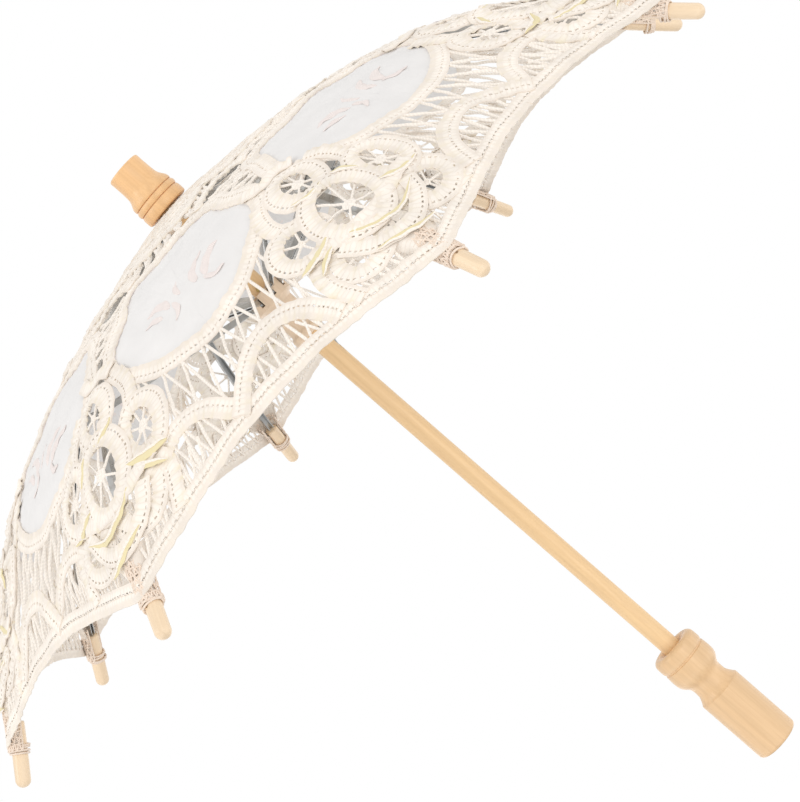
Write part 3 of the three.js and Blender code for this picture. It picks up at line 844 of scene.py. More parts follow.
class LaceEighth:
    """The lace that one rib carries: its flower and pocket, and half of the gore on each side."""

    def __init__(self, dome, k):
        self.dome = dome
        self.k = k
        self.draw = np.random.default_rng(7 * k)
        self.width = settings("lace").tape_width / MM
        self.bar = settings("lace").bar_thickness / MM / 2
        self.works = [LaceWork(dome) for _ in range(5)]
        # The folds are cords of painted yellow shade in the flower's creases
        self.tapes, self.cotton, self.bars, self.stitches, self.folds = self.works
        self.keep(0.5)
        for side in (-1, 1):
            gore = Gore((k - (side < 0)) % RIBS)
            self.lay_panel(gore, side * HALF_GORE)
            self.lay_arches(gore, side * HALF_GORE)
            self.lay_lattice(gore, side * HALF_GORE)
        self.keep(1.0)
        self.lay_rosette()
        self.lay_rib_slot()
        self.lay_flower()
        self.lay_hem()

    def keep(self, share):
        for work in self.works:
            work.kept = share

    def crumple(self, turn, along):
        """The small unevenness of hand-sewn lace, the same on both sides of a gore's middle."""
        angle = np.radians(turn) + rib_turn(self.k)
        x, y = along * np.cos(angle), along * np.sin(angle)
        slow = np.sin(x * 0.21 + 1.3) * np.cos(y * 0.19 - 0.4)
        quick = np.sin(x * 0.83 + y * 0.35) * np.cos(y * 0.71 - x * 0.27)
        return (0.5 * slow + 0.28 * quick) * np.clip(along / 40, 0, 1)

    def lay_panel(self, gore, turn):
        """The embroidered cotton, a tape round it and a cord along its edge."""
        self.cotton.cloth(gore.outline, turn, -0.2)
        border = gore.border(self.width / 2 - 0.9)
        self.tapes.tape(border, turn, 0.45, self.width, pucker=0.22, wave=5.2, holes=0.36)
        edge = gore.border(-0.4)
        self.stitches.cord(edge, turn, 0.2, 0.45, closed=True, sides=5)
        for line, thickest in SPRAY:
            self.leaf(line, turn, thickest, gore)

    def leaf(self, line, turn, thickest, gore):
        """One raised stitch, padded in its middle and thin at its ends."""
        curve = open_curve([(x * gore.panel_width, y + gore.panel_shift) for x, y in line])
        share = np.linspace(0, 1, len(curve))
        swell = np.sin(np.pi * share**0.8) ** 0.7 * thickest + 0.15
        self.stitches.cord(curve, turn, 0.72, swell * 1.5, swell * 0.2 + 0.12, sides=10, pitch=0.9)

    def lay_arches(self, gore, turn):
        """The tapes that spring from the hem, each end over the one before."""
        look = {"closed": False, "pucker": 0.35, "wave": 5.6, "holes": 0.4}
        for index, arch in enumerate(gore.arches):
            self.tapes.tape(open_curve(arch)[::-1], turn, 0.7 + 0.35 * index, self.width, **look)

    def lay_lattice(self, gore, turn):
        """Zigzag threads from the panel to the arches, and a closer web from the arches to the hem."""
        border = gore.border(self.width / 2)
        pitch = 9.2
        starts = np.arange(-43.5, 36, pitch)
        for top_step, bottom_step in ((0, 6.4), (pitch, 2.8)):
            jitter = gore.draw.uniform(-0.8, 0.8, len(starts))
            top = starts + jitter + top_step
            bottom = starts + jitter + bottom_step
            for begin, end in zip(top, bottom):
                high = gore.foot(np.array([begin]), border)[0]
                low = gore.arch_top(np.array([end]))[0]
                self.bar_between((begin, high), (end, low), turn)
        hem, room_for_web = 203, 193
        for start in np.arange(-46, 45, 7.5):
            high = gore.arch_top(np.array([start]))[0]
            if high >= room_for_web:
                continue
            for lean in (-3.8, 3.8):
                self.bar_between((start, high), (start + lean, hem), turn)

    def bar_between(self, start, end, turn, thickness=1.0):
        """A twisted thread from one place to another, not quite straight."""
        bend = self.draw.uniform(-0.5, 0.5)
        middle = ((start[0] + end[0]) / 2 + bend, (start[1] + end[1]) / 2)
        line = open_curve([start, middle, end])
        self.bars.cord(line, turn, 0.1, self.bar * thickness, pitch=3.0)

    def ring_line(self, along_at_rib, along_at_middle):
        """A line round the crown, waved if it lies further out between the ribs than on them."""
        turn = np.linspace(-24.0, 24.0, 49)
        wave = np.abs(np.sin(np.radians(turn * 90 / HALF_GORE)))
        along = along_at_rib + (along_at_middle - along_at_rib) * wave
        return np.stack([self.dome.radius(along) * np.radians(turn), along], -1)[::-1]

    def lay_rosette(self):
        """Five rings of tape round the crown, two waved ones, and threads from them to the panels."""
        for index, along in enumerate((2.5, 9.5, 16.5, 23.5, 30.5)):
            line = self.ring_line(along, along)
            lift = 0.9 - 0.12 * index
            self.tapes.tape(line, 0, lift, self.width, closed=False, pucker=0.4, wave=3.3, holes=0.3)
        self.tapes.tape(self.ring_line(37, 46.5), 0, 0.7, self.width, closed=False, pucker=0.35, wave=4.2)
        self.tapes.tape(self.ring_line(43.5, 56), 0, 1.0, self.width, closed=False, pucker=0.3, wave=5.1)
        self.tapes.tape(open_curve(BRIDGE)[::-1], 0, 0.9, 7.0, closed=False, pucker=0.3)
        for index, turn in enumerate(np.arange(-22.9, 23.5, 2.55)):
            lean = 1.7 * (-1) ** index
            begin = 46 + 12.5 * abs(math.sin(math.radians(turn * 4)))
            end = begin + 15
            start = (self.dome.radius(begin) * math.radians(turn), begin)
            stop = (self.dome.radius(end) * math.radians(turn + lean), end)
            self.bar_between(start, stop, 0, 1.45)

    def lay_rib_slot(self):
        """Threads across the rib between two panels, a small ring and a folded tape."""
        for start in np.arange(74, 104, 6.5):
            for side in (-1, 1):
                self.bar_between((-9 * side, start), (9 * side, start + 8.5), 0, 1.15)
        self.bars.cord(loop(0, 90.5, 1.8, 1.8), 0, 0.5, 1.0, 0.5, closed=True, pitch=1.2)
        folded = open_curve(FOLDED_TAPE)
        self.tapes.tape(folded, 0, 1.3, 6.5, closed=False, holes=0, pucker=0.4, wave=6.0)

    def flower(self):
        """This rib's petals, mirrored on every other rib."""
        kind = "full" if self.k == RIBS else ("even", "full", "leaning")[self.k % 3 - 1]
        if self.k == RIBS or self.k % 2:
            return PETALS[kind]
        return [(-across, along, *halves, -turn) for across, along, *halves, turn in PETALS[kind]]

    def lay_flower(self):
        """Looped tapes with webs in them, and the short tapes that hold them together."""
        for petal, lift in zip(self.flower(), PETAL_LIFTS):
            line = loop(*petal)[::-1]
            self.tapes.tape(line, 0, lift, self.width - 0.3, pucker=0.35, wave=4.6, tilt=-0.5)
            self.web(*petal, lift - 0.3)
        for side in (-1, 1):
            self.tapes.tape(on_side(SIDE_TAPE, side), 0, 0.9, 7.4, closed=False, pucker=0.4, wave=4.4)
        crossing = open_curve(CROSSING)[::-1]
        self.tapes.tape(crossing, 0, 2.2, 6.8, closed=False, holes=0, pucker=0.45, wave=7.0)
        for side in (-1, 1):
            self.tapes.tape(on_side(POST, side), 0, 0.95, 7.2, closed=False, pucker=0.55, wave=6.2)
        self.tapes.tape(open_curve(CUP), 0, 2.0, 7.4, closed=False, pucker=0.3, wave=4.8)
        self.lay_creases()

    def lay_creases(self):
        """Cords of painted yellow shade along the folds of the flower's tapes, each with a thin lip on its
        left.
        """
        mirror = -1 if self.k % 2 else 1
        for line, deepest in CREASES:
            curve = open_curve([(x * mirror + self.draw.uniform(-1, 1), y) for x, y in line])
            share = np.linspace(0, 1, len(curve))
            swell = np.sin(np.pi * share**0.9) ** 0.8 * deepest + 0.12
            height = 2.45 + 0.2 * np.sin(share * 5)
            # Painted shade: a yellow cord where the fold's shade falls
            self.folds.cord(curve, 0, height, swell, 0.3, sides=8, pitch=1.0)
            lip = curve + leftward(curve, False) * (swell + 0.15)[:, None]
            self.bars.cord(lip, 0, height + 0.25, 0.2 + 0.35 * np.sin(np.pi * share), pitch=1.2)

    def web(self, across, along, half_width, half_length, turn, lift):
        """A spider web of thread inside a petal, with more spokes and a larger hub in a large one."""
        spokes, radius = (7, 1.9) if half_length > 12 else (5, 1.2)
        rim = loop(across, along, half_width - 2.5, half_length - 2.5, turn)
        hub = (across + self.draw.uniform(-0.8, 0.8), along + self.draw.uniform(-1.2, 1.2))
        start = self.draw.uniform(0, LOOP_POINTS / spokes)
        for spoke in range(spokes):
            end = rim[int(start + spoke * LOOP_POINTS / spokes) % LOOP_POINTS]
            self.bars.cord(np.array([hub, end]), 0, lift, self.bar * 0.78, pitch=3.0)
        for share in (0.45, 1.0):
            ring = loop(*hub, radius * share, radius * share)
            self.bars.cord(ring, 0, lift + 0.15, radius * 0.4, 0.45, closed=True, pitch=0.8)

    def lay_hem(self):
        """The hem's tape, rounded off at the rib, and the threads that join it to the lace above."""
        turn = np.linspace(-24.0, 24.0, 97)
        rounded = np.sqrt(turn**2 + 0.6**2)
        along = self.dome.hem_at(np.minimum(rounded, 45 - rounded)) - self.width / 2
        line = np.stack([self.dome.radius(along) * np.radians(turn), along], -1)[::-1]
        self.tapes.tape(line, 0, 0.6, self.width, closed=False, pucker=0.12, wave=6.5, holes=0.42)
        reach = 15
        for start in np.concatenate([np.arange(-44, -8, 5.5), np.arange(8.5, 45, 5.5)]):
            for lean in (-2.6, 2.6):
                low = float(np.interp(start, line[::-1, 0], line[::-1, 1]))
                self.bar_between((start + lean, low - reach), (start, low), 0)


# --------------------------------------------------------------------------------------------- operators


class ParasolStage(bpy.types.Operator):
    """Floor, soft light from all round, two lamps and the camera"""

    bl_idname = "parasol.stage"
    bl_label = "Stage"
    soft_light: bpy.props.FloatProperty(name="Soft light", description="Light from all round", default=0.96)
    key_power: bpy.props.FloatProperty(name="Key power", description="Watts, high light", default=6.0)
    side_power: bpy.props.FloatProperty(name="Side power", description="Watts, low light", default=4.2)

    def execute(self, context):
        scene = context.scene
        scene.view_settings.view_transform = "Standard"
        scene.view_settings.look = "None"
        world = bpy.data.worlds.new("soft_white")
        world.use_nodes = True
        tree = world.node_tree
        backdrop = tree.nodes["Background"]
        backdrop.inputs["Color"].default_value = (1, 1, 1, 1)
        strength = tree.nodes.new("ShaderNodeMapRange")
        strength.inputs["To Min"].default_value = self.soft_light
        strength.inputs["To Max"].default_value = 1.0
        seen = tree.nodes.new("ShaderNodeLightPath").outputs["Is Camera Ray"]
        tree.links.new(seen, strength.inputs["Value"])
        tree.links.new(strength.outputs[0], backdrop.inputs["Strength"])
        scene.world = world
        self.floor()
        self.light("key_light", (-0.9, -1.3, 1.5), self.key_power)
        self.light("side_light", (1.5, -1.1, 0.3), self.side_power)
        self.camera(scene)
        return {"FINISHED"}

    def floor(self):
        """A pale grey floor well below the parasol, which glows white further out though it is no lamp."""
        deselect()
        bpy.ops.mesh.primitive_plane_add(size=14, location=(0, 0, -2.2))
        floor = bpy.context.object
        floor.name = floor.data.name = "studio_floor"
        only(floor)
        bpy.ops.object.transform_apply(location=True)
        paper = Nodes("floor_paper")
        paper.shade(Roughness=1.0, Specular_IOR_Level=0.0)
        paper.shader.inputs["Base Color"].default_value = (0.6, 0.6, 0.6, 1)
        paper.shader.inputs["Emission Color"].default_value = (1, 1, 1, 1)
        reach = paper.add("ShaderNodeVectorMath", operation="LENGTH")
        paper.link(paper.add("ShaderNodeTexCoord").outputs["Object"], reach.inputs[0])
        # The floor's emission: it glows white from 3.1 m out
        glow = paper.add("ShaderNodeMapRange", interpolation_type="SMOOTHSTEP")
        glow.inputs["From Min"].default_value = 3.1  # metres from the shaft
        glow.inputs["From Max"].default_value = 4.6
        paper.link(reach.outputs["Value"], glow.inputs["Value"])
        paper.link(glow.outputs[0], paper.shader.inputs["Emission Strength"])
        set_material(floor, paper.material)

    def light(self, name, place, power):
        """A square light a metre across, aimed at the canopy."""
        lamp = bpy.data.lights.new(name, "AREA")
        lamp.size = 1.0
        lamp.energy = power
        light = bpy.data.objects.new(name, lamp)
        light.location = place
        aim = Vector((0, 0, 0.28)) - Vector(place)
        light.rotation_euler = aim.to_track_quat("-Z", "Y").to_euler()
        bpy.context.collection.objects.link(light)

    def camera(self, scene):
        """A long lens, about level with the hem and rolled, so that the parasol leans."""
        distance, height = 0.9826, 0.2461
        azimuth, roll = math.radians(30.69), math.radians(-48.92)
        aim = Vector((0.00253, 0.00149, 0.2127))
        lens = bpy.data.cameras.new("camera")
        lens.lens = 106.37
        lens.clip_end = 50
        camera = bpy.data.objects.new("camera", lens)
        place = Vector((distance * math.sin(azimuth), -distance * math.cos(azimuth), height))
        level = (aim - place).to_track_quat("-Z", "Y").to_matrix().to_4x4()
        camera.matrix_world = Matrix.Translation(place) @ level @ Matrix.Rotation(roll, 4, "Z")
        bpy.context.collection.objects.link(camera)
        scene.camera = camera


def cut_by(piece, tools):
    """Cuts tools out of a piece, one after another, and removes them."""
    for tool in tools:
        cutter = piece.modifiers.new("cut", "BOOLEAN")
        cutter.operation = "DIFFERENCE"
        cutter.solver = "EXACT"
        cutter.object = tool
        apply_modifiers(piece)
        bpy.data.objects.remove(tool)


def block(size, place, turn):
    """A plain block for cutting, pushed out from the shaft to its place and turned about it."""
    deselect()
    bpy.ops.mesh.primitive_cube_add(size=1, location=place)
    tool = bpy.context.object
    tool.scale = size
    bpy.ops.object.transform_apply(location=True, scale=True)
    tool.data.transform(Matrix.Rotation(turn, 4, "Z"))
    return tool


def drill(radius, reach, place, axis):
    """A round bar for cutting a hole, with the middle and the direction given."""
    deselect()
    bpy.ops.mesh.primitive_cylinder_add(vertices=32, radius=radius, depth=reach)
    tool = bpy.context.object
    turned = Vector(axis).to_track_quat("Z", "Y").to_matrix().to_4x4()
    tool.data.transform(Matrix.Translation(place) @ turned)
    return tool


def finish_wood(piece, node, body, material, degrees=38):
    """A wooden piece's material and smoothing, and the node and body that it goes with."""
    set_material(piece, material)
    smooth(piece, degrees)
    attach(piece, body)
    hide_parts(node)


def middle_of(node):
    low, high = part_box(node)
    return (Vector(low) + Vector(high)) / 2


class ParasolStick(bpy.types.Operator):
    """Shaft, turned handle and turned finial"""

    bl_idname = "parasol.stick"
    bl_label = "Stick"

    def execute(self, context):
        colours = settings("colours")
        self.shaft(finish("lacquered_shaft", "wood", colours.shaft))
        self.handle(finish("lacquered_handle", "wood", colours.handle))
        self.finial(finish("lacquered_finial", "wood", colours.finial))
        return {"FINISHED"}

    def shaft(self, material):
        """A round stick with the catch's slot and the stop pin's hole, both between two ribs."""
        low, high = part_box("shaft")
        foot, top = low[2] / MM, high[2] / MM
        radius, chamfer = 4.25, 0.8
        rises = np.linspace(foot + chamfer, top - chamfer, 24)
        side = [(radius, z) for z in rises]
        outline = [(radius - chamfer, foot), *side, (radius - chamfer, top)]
        shaft = turned_piece("stick_shaft", outline)
        catch_low, catch_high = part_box("catch_spring")
        turn = math.radians(HALF_GORE)
        room_at_ends = 0.003
        size = (0.008, 0.0016, catch_high[2] - catch_low[2] + room_at_ends)
        slot = block(size, (0.0014, 0, (catch_low[2] + catch_high[2]) / 2), turn)
        pin_radius, reach = 0.0012, 0.02
        pin_hole = drill(pin_radius, reach, middle_of("stop_pin"), (-math.sin(turn), math.cos(turn), 0))
        cut_by(shaft, [slot, pin_hole])
        keep_grain(shaft)
        finish_wood(shaft, "shaft", "stick", material)

    def handle(self, material):
        """A long grip, a neck, a bell, a groove and a collar with a mouth for the shaft."""
        grip = arc((8.5, 1.8), 1.8, -90, 0, 8) + [(10.3, 12), (10.3, 24), (10.3, 32.2)]
        shoulder = arc((9.6, 32.9), 0.7, 0, 60, 4) + [(9, 35.1), (8.4, 36.3)]
        neck = [(8.05, 37.4), (8, 38.6), (8, 40.2)]
        bell = [(8.2, 41.6), (8.8, 42.8), (9.7, 43.8), (10.5, 45), (10.95, 46.6), (11.1, 48.8), (11, 51.4)]
        groove = [(10.85, 52.8), (10.45, 53.1), (10.4, 53.4), (10.45, 53.7), (10.9, 54), (11.05, 54.6)]
        collar = [(11.05, 56.2)] + arc((8.4, 57.8), 2.6, 5, 90, 8) + [(7.2, 60.3), (6.2, 59.9)]
        mouth = [(5.3, 59.1), (4.8, 58.2), (4.62, 57), (4.6, 54)]
        handle = turned_piece("turned_handle", grip + shoulder + neck + bell + groove + collar + mouth, 96)
        keep_grain(handle)
        finish_wood(handle, "handle", "stick", material)

    def finial(self, material):
        """A banded base with two fine grooves, a cove and a plain shank with a soft rim."""
        base, top = (corner[2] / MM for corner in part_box("finial"))
        band = [(9.6, 0), (10.3, 0.3), (10.55, 0.8), (10.6, 2.6), (10.5, 4.2), (10.3, 4.6)]
        low_groove = [(10.2, 4.75), (9.5, 4.85), (9.5, 5.1), (10.25, 5.2)]
        bead = [(10.55, 5.8), (10.65, 6.5), (10.5, 7.3), (10.2, 7.75)]
        high_groove = [(10.15, 7.85), (9.45, 7.95), (9.45, 8.2), (10.15, 8.3), (10.35, 8.7)]
        cove = [(10.35, 9.4), (10.1, 10.4), (9.5, 11.5), (8.85, 12.6), (8.4, 13.8), (8.2, 15.2)]
        shank = [(8.1, 17.5), (8.05, 20.5), (8.1, top - base - 0.9)]
        crown = arc((7.3, top - base - 0.8), 0.8, 0, 90, 5) + [(4, top - base - 0.04), (1, top - base)]
        outline = band + low_groove + bead + high_groove + cove + shank + crown
        finial = turned_piece("turned_finial", [(r, z + base) for r, z in outline], 96)
        keep_grain(finial)
        finish_wood(finial, "finial", "stick", material)


class ParasolRings(bpy.types.Operator):
    """The slotted wooden rings: the top notch and the sliding runner"""

    bl_idname = "parasol.rings"
    bl_label = "Notch and runner"

    def execute(self, context):
        material = finish("ring_wood", "wood", settings("colours").runner)
        low, high = (corner[2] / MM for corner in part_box("top_notch"))
        outline = [(8.9, low), (9.2, low + 0.3), (9.2, high - 0.3), (8.9, high)]
        hinge = middle_of("notch_wire").z
        self.slotted("top_notch_ring", outline, hinge, -1, "top_notch", "stick", material)
        low, high = (corner[2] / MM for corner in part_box("runner"))
        foot = [(7.7, low), (8.1, low + 0.2), (8.25, low + 0.7), (8.25, low + 2.6), (8, low + 3.2)]
        neck = [(7.2, low + 4), (6.9, low + 4.8), (6.85, low + 10), (6.9, high - 9.2), (7.4, high - 8.4)]
        head = [(8.8, high - 7.6), (9.2, high - 7), (9.2, high - 0.3), (8.9, high)]
        hinge = middle_of("runner_wire").z
        self.slotted("sliding_runner", foot + neck + head, hinge, 1, "runner", "runner", material)
        return {"FINISHED"}

    def slotted(self, name, outline, hinge, side, node, body, material):
        """A ring bored for the shaft, with a slot for each rib whose hinge wire lies at that height."""
        ring = turned_piece(name, outline)
        bore_radius, bore_reach = 0.00455, 0.1
        bore = drill(bore_radius, bore_reach, (0, 0, outline[0][1] * MM), (0, 0, 1))
        floor, reach, width, depth, past_hinge = 0.0057, 0.0055, 0.0019, 0.0073, 0.0023
        middle = hinge + side * (depth / 2 - past_hinge)
        size, place = (reach, width, depth), (floor + reach / 2, 0, middle)
        slots = [block(size, place, rib_turn(k)) for k in range(1, RIBS + 1)]
        cut_by(ring, [bore] + slots)
        keep_grain(ring)
        finish_wood(ring, node, body, material, 30)


class ParasolTips(bpy.types.Operator):
    """Wooden rib tips, each with a small hole across it for thread"""

    bl_idname = "parasol.tips"
    bl_label = "Tips"

    def execute(self, context):
        sizes = settings("frame")
        dome = Dome()
        radius, reach = sizes.tip_thickness / MM / 2, sizes.tip_length / MM
        blank = [(radius - 0.5, 0), (radius - 0.1, 0.4), (radius, 1.2)]
        blank += [(radius + 0.05, 8), (radius + 0.05, 16), (radius, reach - 4.4)]
        crown, turns = 3, np.radians(np.arange(4, 90, 9.5))  # the rounded end's height in mm
        rounded = [(radius * math.cos(turn), reach - crown + crown * math.sin(turn)) for turn in turns]
        tip = turned_piece("tip", blank + rounded, 40)
        hole_from_end, hole_radius, through = 13, 0.00055, 0.02
        hole = drill(hole_radius, through, (0, 0, (reach - hole_from_end) * MM), (0, 1, 0))
        cut_by(tip, [hole])
        keep_grain(tip)
        direction = Vector((dome.tip_direction[0], 0, dome.tip_direction[1]))
        start = Vector((dome.tip_start[0], 0, dome.tip_start[1])) * MM
        lay = direction.to_track_quat("Z", "Y").to_matrix().to_4x4()
        tip.data.transform(Matrix.Translation(start) @ lay)
        material = finish("lacquered_tip", "wood", settings("colours").tip)
        for k in range(1, RIBS + 1):
            piece = turned_about_shaft(copied(tip, "wooden_tip_%d" % k), k)
            finish_wood(piece, "rib_tip_%d" % k, "rib_arm_%d" % k, material, 50)
        bpy.data.objects.remove(tip)
        return {"FINISHED"}


class ParasolMetal(bpy.types.Operator):
    """Finishes of the ribs, stretchers, wires, rivets, catch and stop pin"""

    bl_idname = "parasol.metal"
    bl_label = "Metal"

    def execute(self, context):
        colours = settings("colours")
        steel = finish("rib_steel", "metal", colours.steel, 0.3)
        brass = finish("rivet_brass", "metal", colours.brass, 0.34)
        brass_nodes = ["joint_rivet_%d" % k for k in range(1, RIBS + 1)] + ["stop_pin"]
        steel_nodes = [name % k for name in ("rib_%d", "stretcher_%d") for k in range(1, RIBS + 1)]
        for node in steel_nodes + ["notch_wire", "runner_wire", "catch_spring"]:
            set_material(bpy.data.objects[node], steel)
        for node in brass_nodes:
            set_material(bpy.data.objects[node], brass)
        return {"FINISHED"}


class ParasolLaceCanopy(bpy.types.Operator):
    """The tape lace, one eighth on each rib"""

    bl_idname = "parasol.lace"
    bl_label = "Lace"

    def execute(self, context):
        colours, lace = settings("colours"), settings("lace")
        tape = finish("woven_tape", "tape", colours.tape, colours.painted_fold_shade)
        cotton = finish("panel_cotton", "cotton", colours.cotton)
        thread = finish("bar_thread", "thread", tinted(tuple(colours.tape), 1.02), 1.6)
        stitching = finish("raised_stitching", "thread", colours.stitching, 0.7)
        # Painted shade: the crease cords' material takes the fold shade colour
        crease_shade = finish("creased_tape", "cotton", colours.painted_fold_shade)
        dome = Dome()
        for k in range(1, RIBS + 1):
            eighth = LaceEighth(dome, k)
            tapes = self.finished(eighth, "tapes", eighth.tapes, tape, lace.tape_thickness / MM)
            panels = self.finished(eighth, "cotton", eighth.cotton, cotton, lace.cotton_thickness / MM)
            threads = [
                self.finished(eighth, "bars", eighth.bars, thread),
                self.finished(eighth, "stitches", eighth.stitches, stitching),
                self.finished(eighth, "folds", eighth.folds, crease_shade),
            ]
        return {"FINISHED"}

    def finished(self, eighth, part, work, material, thickness=0):
        """One make of an eighth's lace as a piece of its own, going with its rib's arm."""
        name = "lace_%s_%d" % (part, eighth.k)
        mesh = work.mesh(name, eighth.crumple)
        trimmed_to_gore(mesh, close_ends=thickness == 0)
        piece = bpy.data.objects.new(name, mesh)
        bpy.context.collection.objects.link(piece)
        set_material(piece, material)
        if thickness:
            thickened(piece, thickness)
        turned_about_shaft(piece, eighth.k)
        smooth(piece, 60)
        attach(piece, "rib_arm_%d" % eighth.k)
        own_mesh(piece)
        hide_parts("lace_panel_%d" % eighth.k)
        return piece


def strand(line, radius, closed=False, sides=7):
    """A round thread along a line in space: its points, faces and the weave's places."""
    line = np.asarray(line, float)
    if closed:
        ahead = np.roll(line, -1, 0) - np.roll(line, 1, 0)
    else:
        ahead = np.gradient(line, axis=0)
    ahead /= np.linalg.norm(ahead, axis=1)[:, None]
    side = np.cross(ahead[0], (0.31, 0.52, 0.79))
    angle = np.arange(sides) * math.tau / sides
    rings = []
    for point, direction in zip(line, ahead):
        side = side - direction * (side @ direction)
        side /= np.linalg.norm(side)
        up = np.cross(direction, side)
        rings.append(point + radius * (np.cos(angle)[:, None] * side + np.sin(angle)[:, None] * up))
    count = len(line)
    faces, weave = [], []
    for i in range(count if closed else count - 1):
        ring, next_ring = i * sides, (i + 1) % count * sides
        for j in range(sides):
            beside = (j + 1) % sides
            faces.append([ring + j, ring + beside, next_ring + beside, next_ring + j])
            weave += [(i, j / sides), (i, (j + 1) / sides), (i + 1, (j + 1) / sides), (i + 1, j / sides)]
    if not closed:
        faces += [list(reversed(range(sides))), list(range((count - 1) * sides, count * sides))]
        weave += [(0, 0)] * (2 * sides)
    return np.vstack(rings), faces, weave


def piece_of(name, parts, material):
    """One object from several meshes given as points in mm, faces and weave."""
    faces, weave, count = [], [], 0
    for part_points, part_faces, part_weave in parts:
        faces += [[count + corner for corner in face] for face in part_faces]
        weave += part_weave
        count += len(part_points)
    points = np.vstack([part[0] for part in parts])
    mesh = bpy.data.meshes.new(name)
    mesh.from_pydata((points * MM).tolist(), [], faces)
    layer = mesh.uv_layers.new(name="weave")
    layer.data.foreach_set("uv", np.array(weave, np.float32).ravel())
    piece = bpy.data.objects.new(name, mesh)
    bpy.context.collection.objects.link(piece)
    set_material(piece, material)
    return piece


def grid_of(points):
    """Points in rows and columns as the faces of an open sheet, with their weave in mm."""
    rows, columns = points.shape[:2]
    faces, weave = [], []
    step = np.linalg.norm(points[1, 0] - points[0, 0])
    pitch = np.linalg.norm(points[0, 1] - points[0, 0])
    for i in range(rows - 1):
        for j in range(columns - 1):
            first = i * columns + j
            faces.append([first, first + columns, first + columns + 1, first + 1])
            weave += [(i * step, j * pitch), (i * step + step, j * pitch)]
            weave += [(i * step + step, j * pitch + pitch), (i * step, j * pitch + pitch)]
    return points.reshape(-1, 3), faces, weave


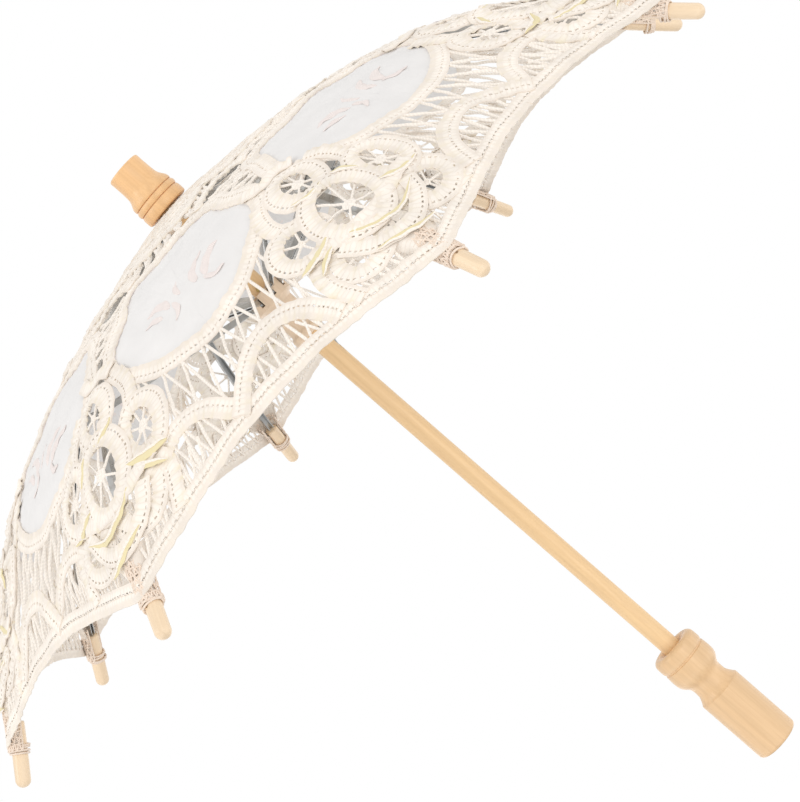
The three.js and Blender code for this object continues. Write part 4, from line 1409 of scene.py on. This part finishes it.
class ParasolTrimmings(bpy.types.Operator):
    """The gathered lace under the finial, and the pocket and thread tie at each tip"""

    bl_idname = "parasol.trimmings"
    bl_label = "Crown and ties"

    def execute(self, context):
        colours = settings("colours")
        tape = finish("woven_tape", "tape", colours.tape, colours.painted_fold_shade)
        thread = finish("tie_thread", "thread", colours.tie, 3.0)
        self.crown(tape)
        dome = Dome()
        for k in range(1, RIBS + 1):
            self.pocket(dome, k, tape)
            self.tie(dome, k, thread)
        return {"FINISHED"}

    def crown(self, material):
        """A ring of tape gathered in small pleats round the shaft, its edge ragged."""
        low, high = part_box("lace_crown")
        middle = (low[2] + high[2]) / 2 / MM
        turn = np.linspace(0, math.tau, 289)
        radii = np.array([4.7, 6.2, 7.8, 9.4, 10.8, 12.0, 13.2])
        share = (radii - radii[0]) / (radii[-1] - radii[0])
        pleat = np.sin(turn * 36) * 0.75 + np.sin(turn * 13 + 1) * 0.25
        reach = radii + share**3 * (0.7 * np.sin(turn * 29) + 0.5 * np.sin(turn * 17))[:, None]
        height = middle - 0.05 + 0.34 * share * pleat[:, None] - 0.9 * share**2
        points = np.stack([reach * np.cos(turn)[:, None], reach * np.sin(turn)[:, None], height], -1)
        crown = piece_of("crown_gathers", [grid_of(points)], material)
        thickness, cut = 0.35, (0.04, 0.014)
        self.finish_sheet(crown, thickness, "stick", "lace_crown", cut)

    def pocket(self, dome, k, material):
        """The lace's corner, drawn round the wooden tip and flaring towards the canopy."""
        clearance = 0.65
        radius = settings("frame").tip_thickness / MM / 2 + clearance
        along = np.linspace(-9, 11.5, 15)[:, None]
        turn = np.radians(np.linspace(-98, 98, 21))[None, :]
        flare = np.clip((2 - along) / 11, 0, 1)
        wrinkle = 0.22 * np.sin(turn * 9 + along * 0.7) + 0.15 * np.sin(along * 2.1 + turn * 3)
        reach = radius + 1.4 * flare * np.cos(turn / 2) + wrinkle
        points = self.on_tip(dome, along, turn, reach, 1 + 0.9 * flare)
        pocket = piece_of("tip_pocket_%d" % k, [grid_of(points)], material)
        turned_about_shaft(pocket, k)
        thickness, cut = 0.4, (0.018, 0.021)
        self.finish_sheet(pocket, thickness, "rib_arm_%d" % k, "lace_panel_%d" % k, cut)

    def finish_sheet(self, piece, thickness, body, node, cut):
        thickened(piece, thickness)
        smooth(piece, 60)
        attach(piece, body)
        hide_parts(node)

    def tie(self, dome, k, material):
        """Thread wound round the tip and netted over the lace's pocket."""
        draw = np.random.default_rng(90 + k)
        radius = settings("frame").tip_thickness / MM / 2
        windings, net, rounds = 0.42, 0.36, 0.34  # half thicknesses of the threads in mm
        parts = []
        for index, along in enumerate((9.3, 10.4, 11.6, 12.6)):
            slant = draw.uniform(-0.8, 0.8)
            angle = np.linspace(0, math.tau, 28, endpoint=False)
            rise = along + slant * np.sin(angle + index)
            reach = radius + 0.95 - 0.35 * (index == 3) + 0.2 * np.sin(angle * 3 + index)
            parts.append(strand(self.on_tip(dome, rise, angle, reach), windings, closed=True))
        share = np.linspace(0, 1, 15)
        for lean in (-1, 1):
            for start in np.radians(np.arange(-100, 101, 25)):
                angle = np.clip(start + lean * share * 1.1, -1.85, 1.85)
                rise = 11.8 - share * 17
                knots = 0.25 * np.abs(np.sin(share * math.pi * 6 + lean))
                reach = radius + 1.1 + 0.7 * share**2 + knots
                parts.append(strand(self.on_tip(dome, rise, angle, reach), net))
        for rise in np.arange(-4, 9, 2.1):
            angle = np.linspace(-1.8, 1.8, 18)
            wander = 0.5 * np.sin(angle * 4 + rise)
            reach = radius + 1.25 + 0.04 * (9 - rise)
            parts.append(strand(self.on_tip(dome, rise + wander, angle, reach), rounds))
        tie = piece_of("tip_tie_%d" % k, parts, material)
        turned_about_shaft(tie, k)
        smooth(tie, 60)
        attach(tie, "rib_arm_%d" % k)
        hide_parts("lace_panel_%d" % k)

    def on_tip(self, dome, along, turn, reach, spread=1):
        """Places in mm round the first rib's tip, or round an oval spread wider than it is high."""
        out, side = reach * np.cos(turn), reach * np.sin(turn) * spread
        x = dome.tip_start[0] + along * dome.tip_direction[0] - out * dome.tip_direction[1]
        z = dome.tip_start[1] + along * dome.tip_direction[1] + out * dome.tip_direction[0]
        return np.stack([x, side, z], -1)


class ParasolPanel(bpy.types.Panel):
    """The parasol's pieces, in the order that they are made"""

    bl_idname = "VIEW3D_PT_parasol"
    bl_label = "Lace Parasol"
    bl_space_type = "VIEW_3D"
    bl_region_type = "UI"
    bl_category = "Parasol"

    def draw(self, context):
        for operator in OPERATORS:
            self.layout.operator(operator.bl_idname)
        for kind in ("frame", "lace", "colours"):
            box = self.layout.box()
            group = settings(kind)
            for name in group.__annotations__:
                box.prop(group, name)


OPERATORS = (
    ParasolStage,
    ParasolMetal,
    ParasolStick,
    ParasolRings,
    ParasolTips,
    ParasolLaceCanopy,
    ParasolTrimmings,
)
GROUPS = {"frame": ParasolFrame, "lace": ParasolLace, "colours": ParasolColours}


def register():
    for cls in (*GROUPS.values(), *OPERATORS, ParasolPanel):
        bpy.utils.register_class(cls)
    for kind, group in GROUPS.items():
        setattr(bpy.types.Scene, "parasol_" + kind, bpy.props.PointerProperty(type=group))


def unregister():
    for kind in GROUPS:
        delattr(bpy.types.Scene, "parasol_" + kind)
    for cls in (ParasolPanel, *reversed(OPERATORS), *GROUPS.values()):
        bpy.utils.unregister_class(cls)


def main():
    register()
    bpy.ops.parasol.stage()
    bpy.ops.parasol.metal()
    bpy.ops.parasol.stick()
    bpy.ops.parasol.rings()
    bpy.ops.parasol.tips()
    bpy.ops.parasol.lace()
    bpy.ops.parasol.trimmings()


if __name__ == "__main__":
    main()
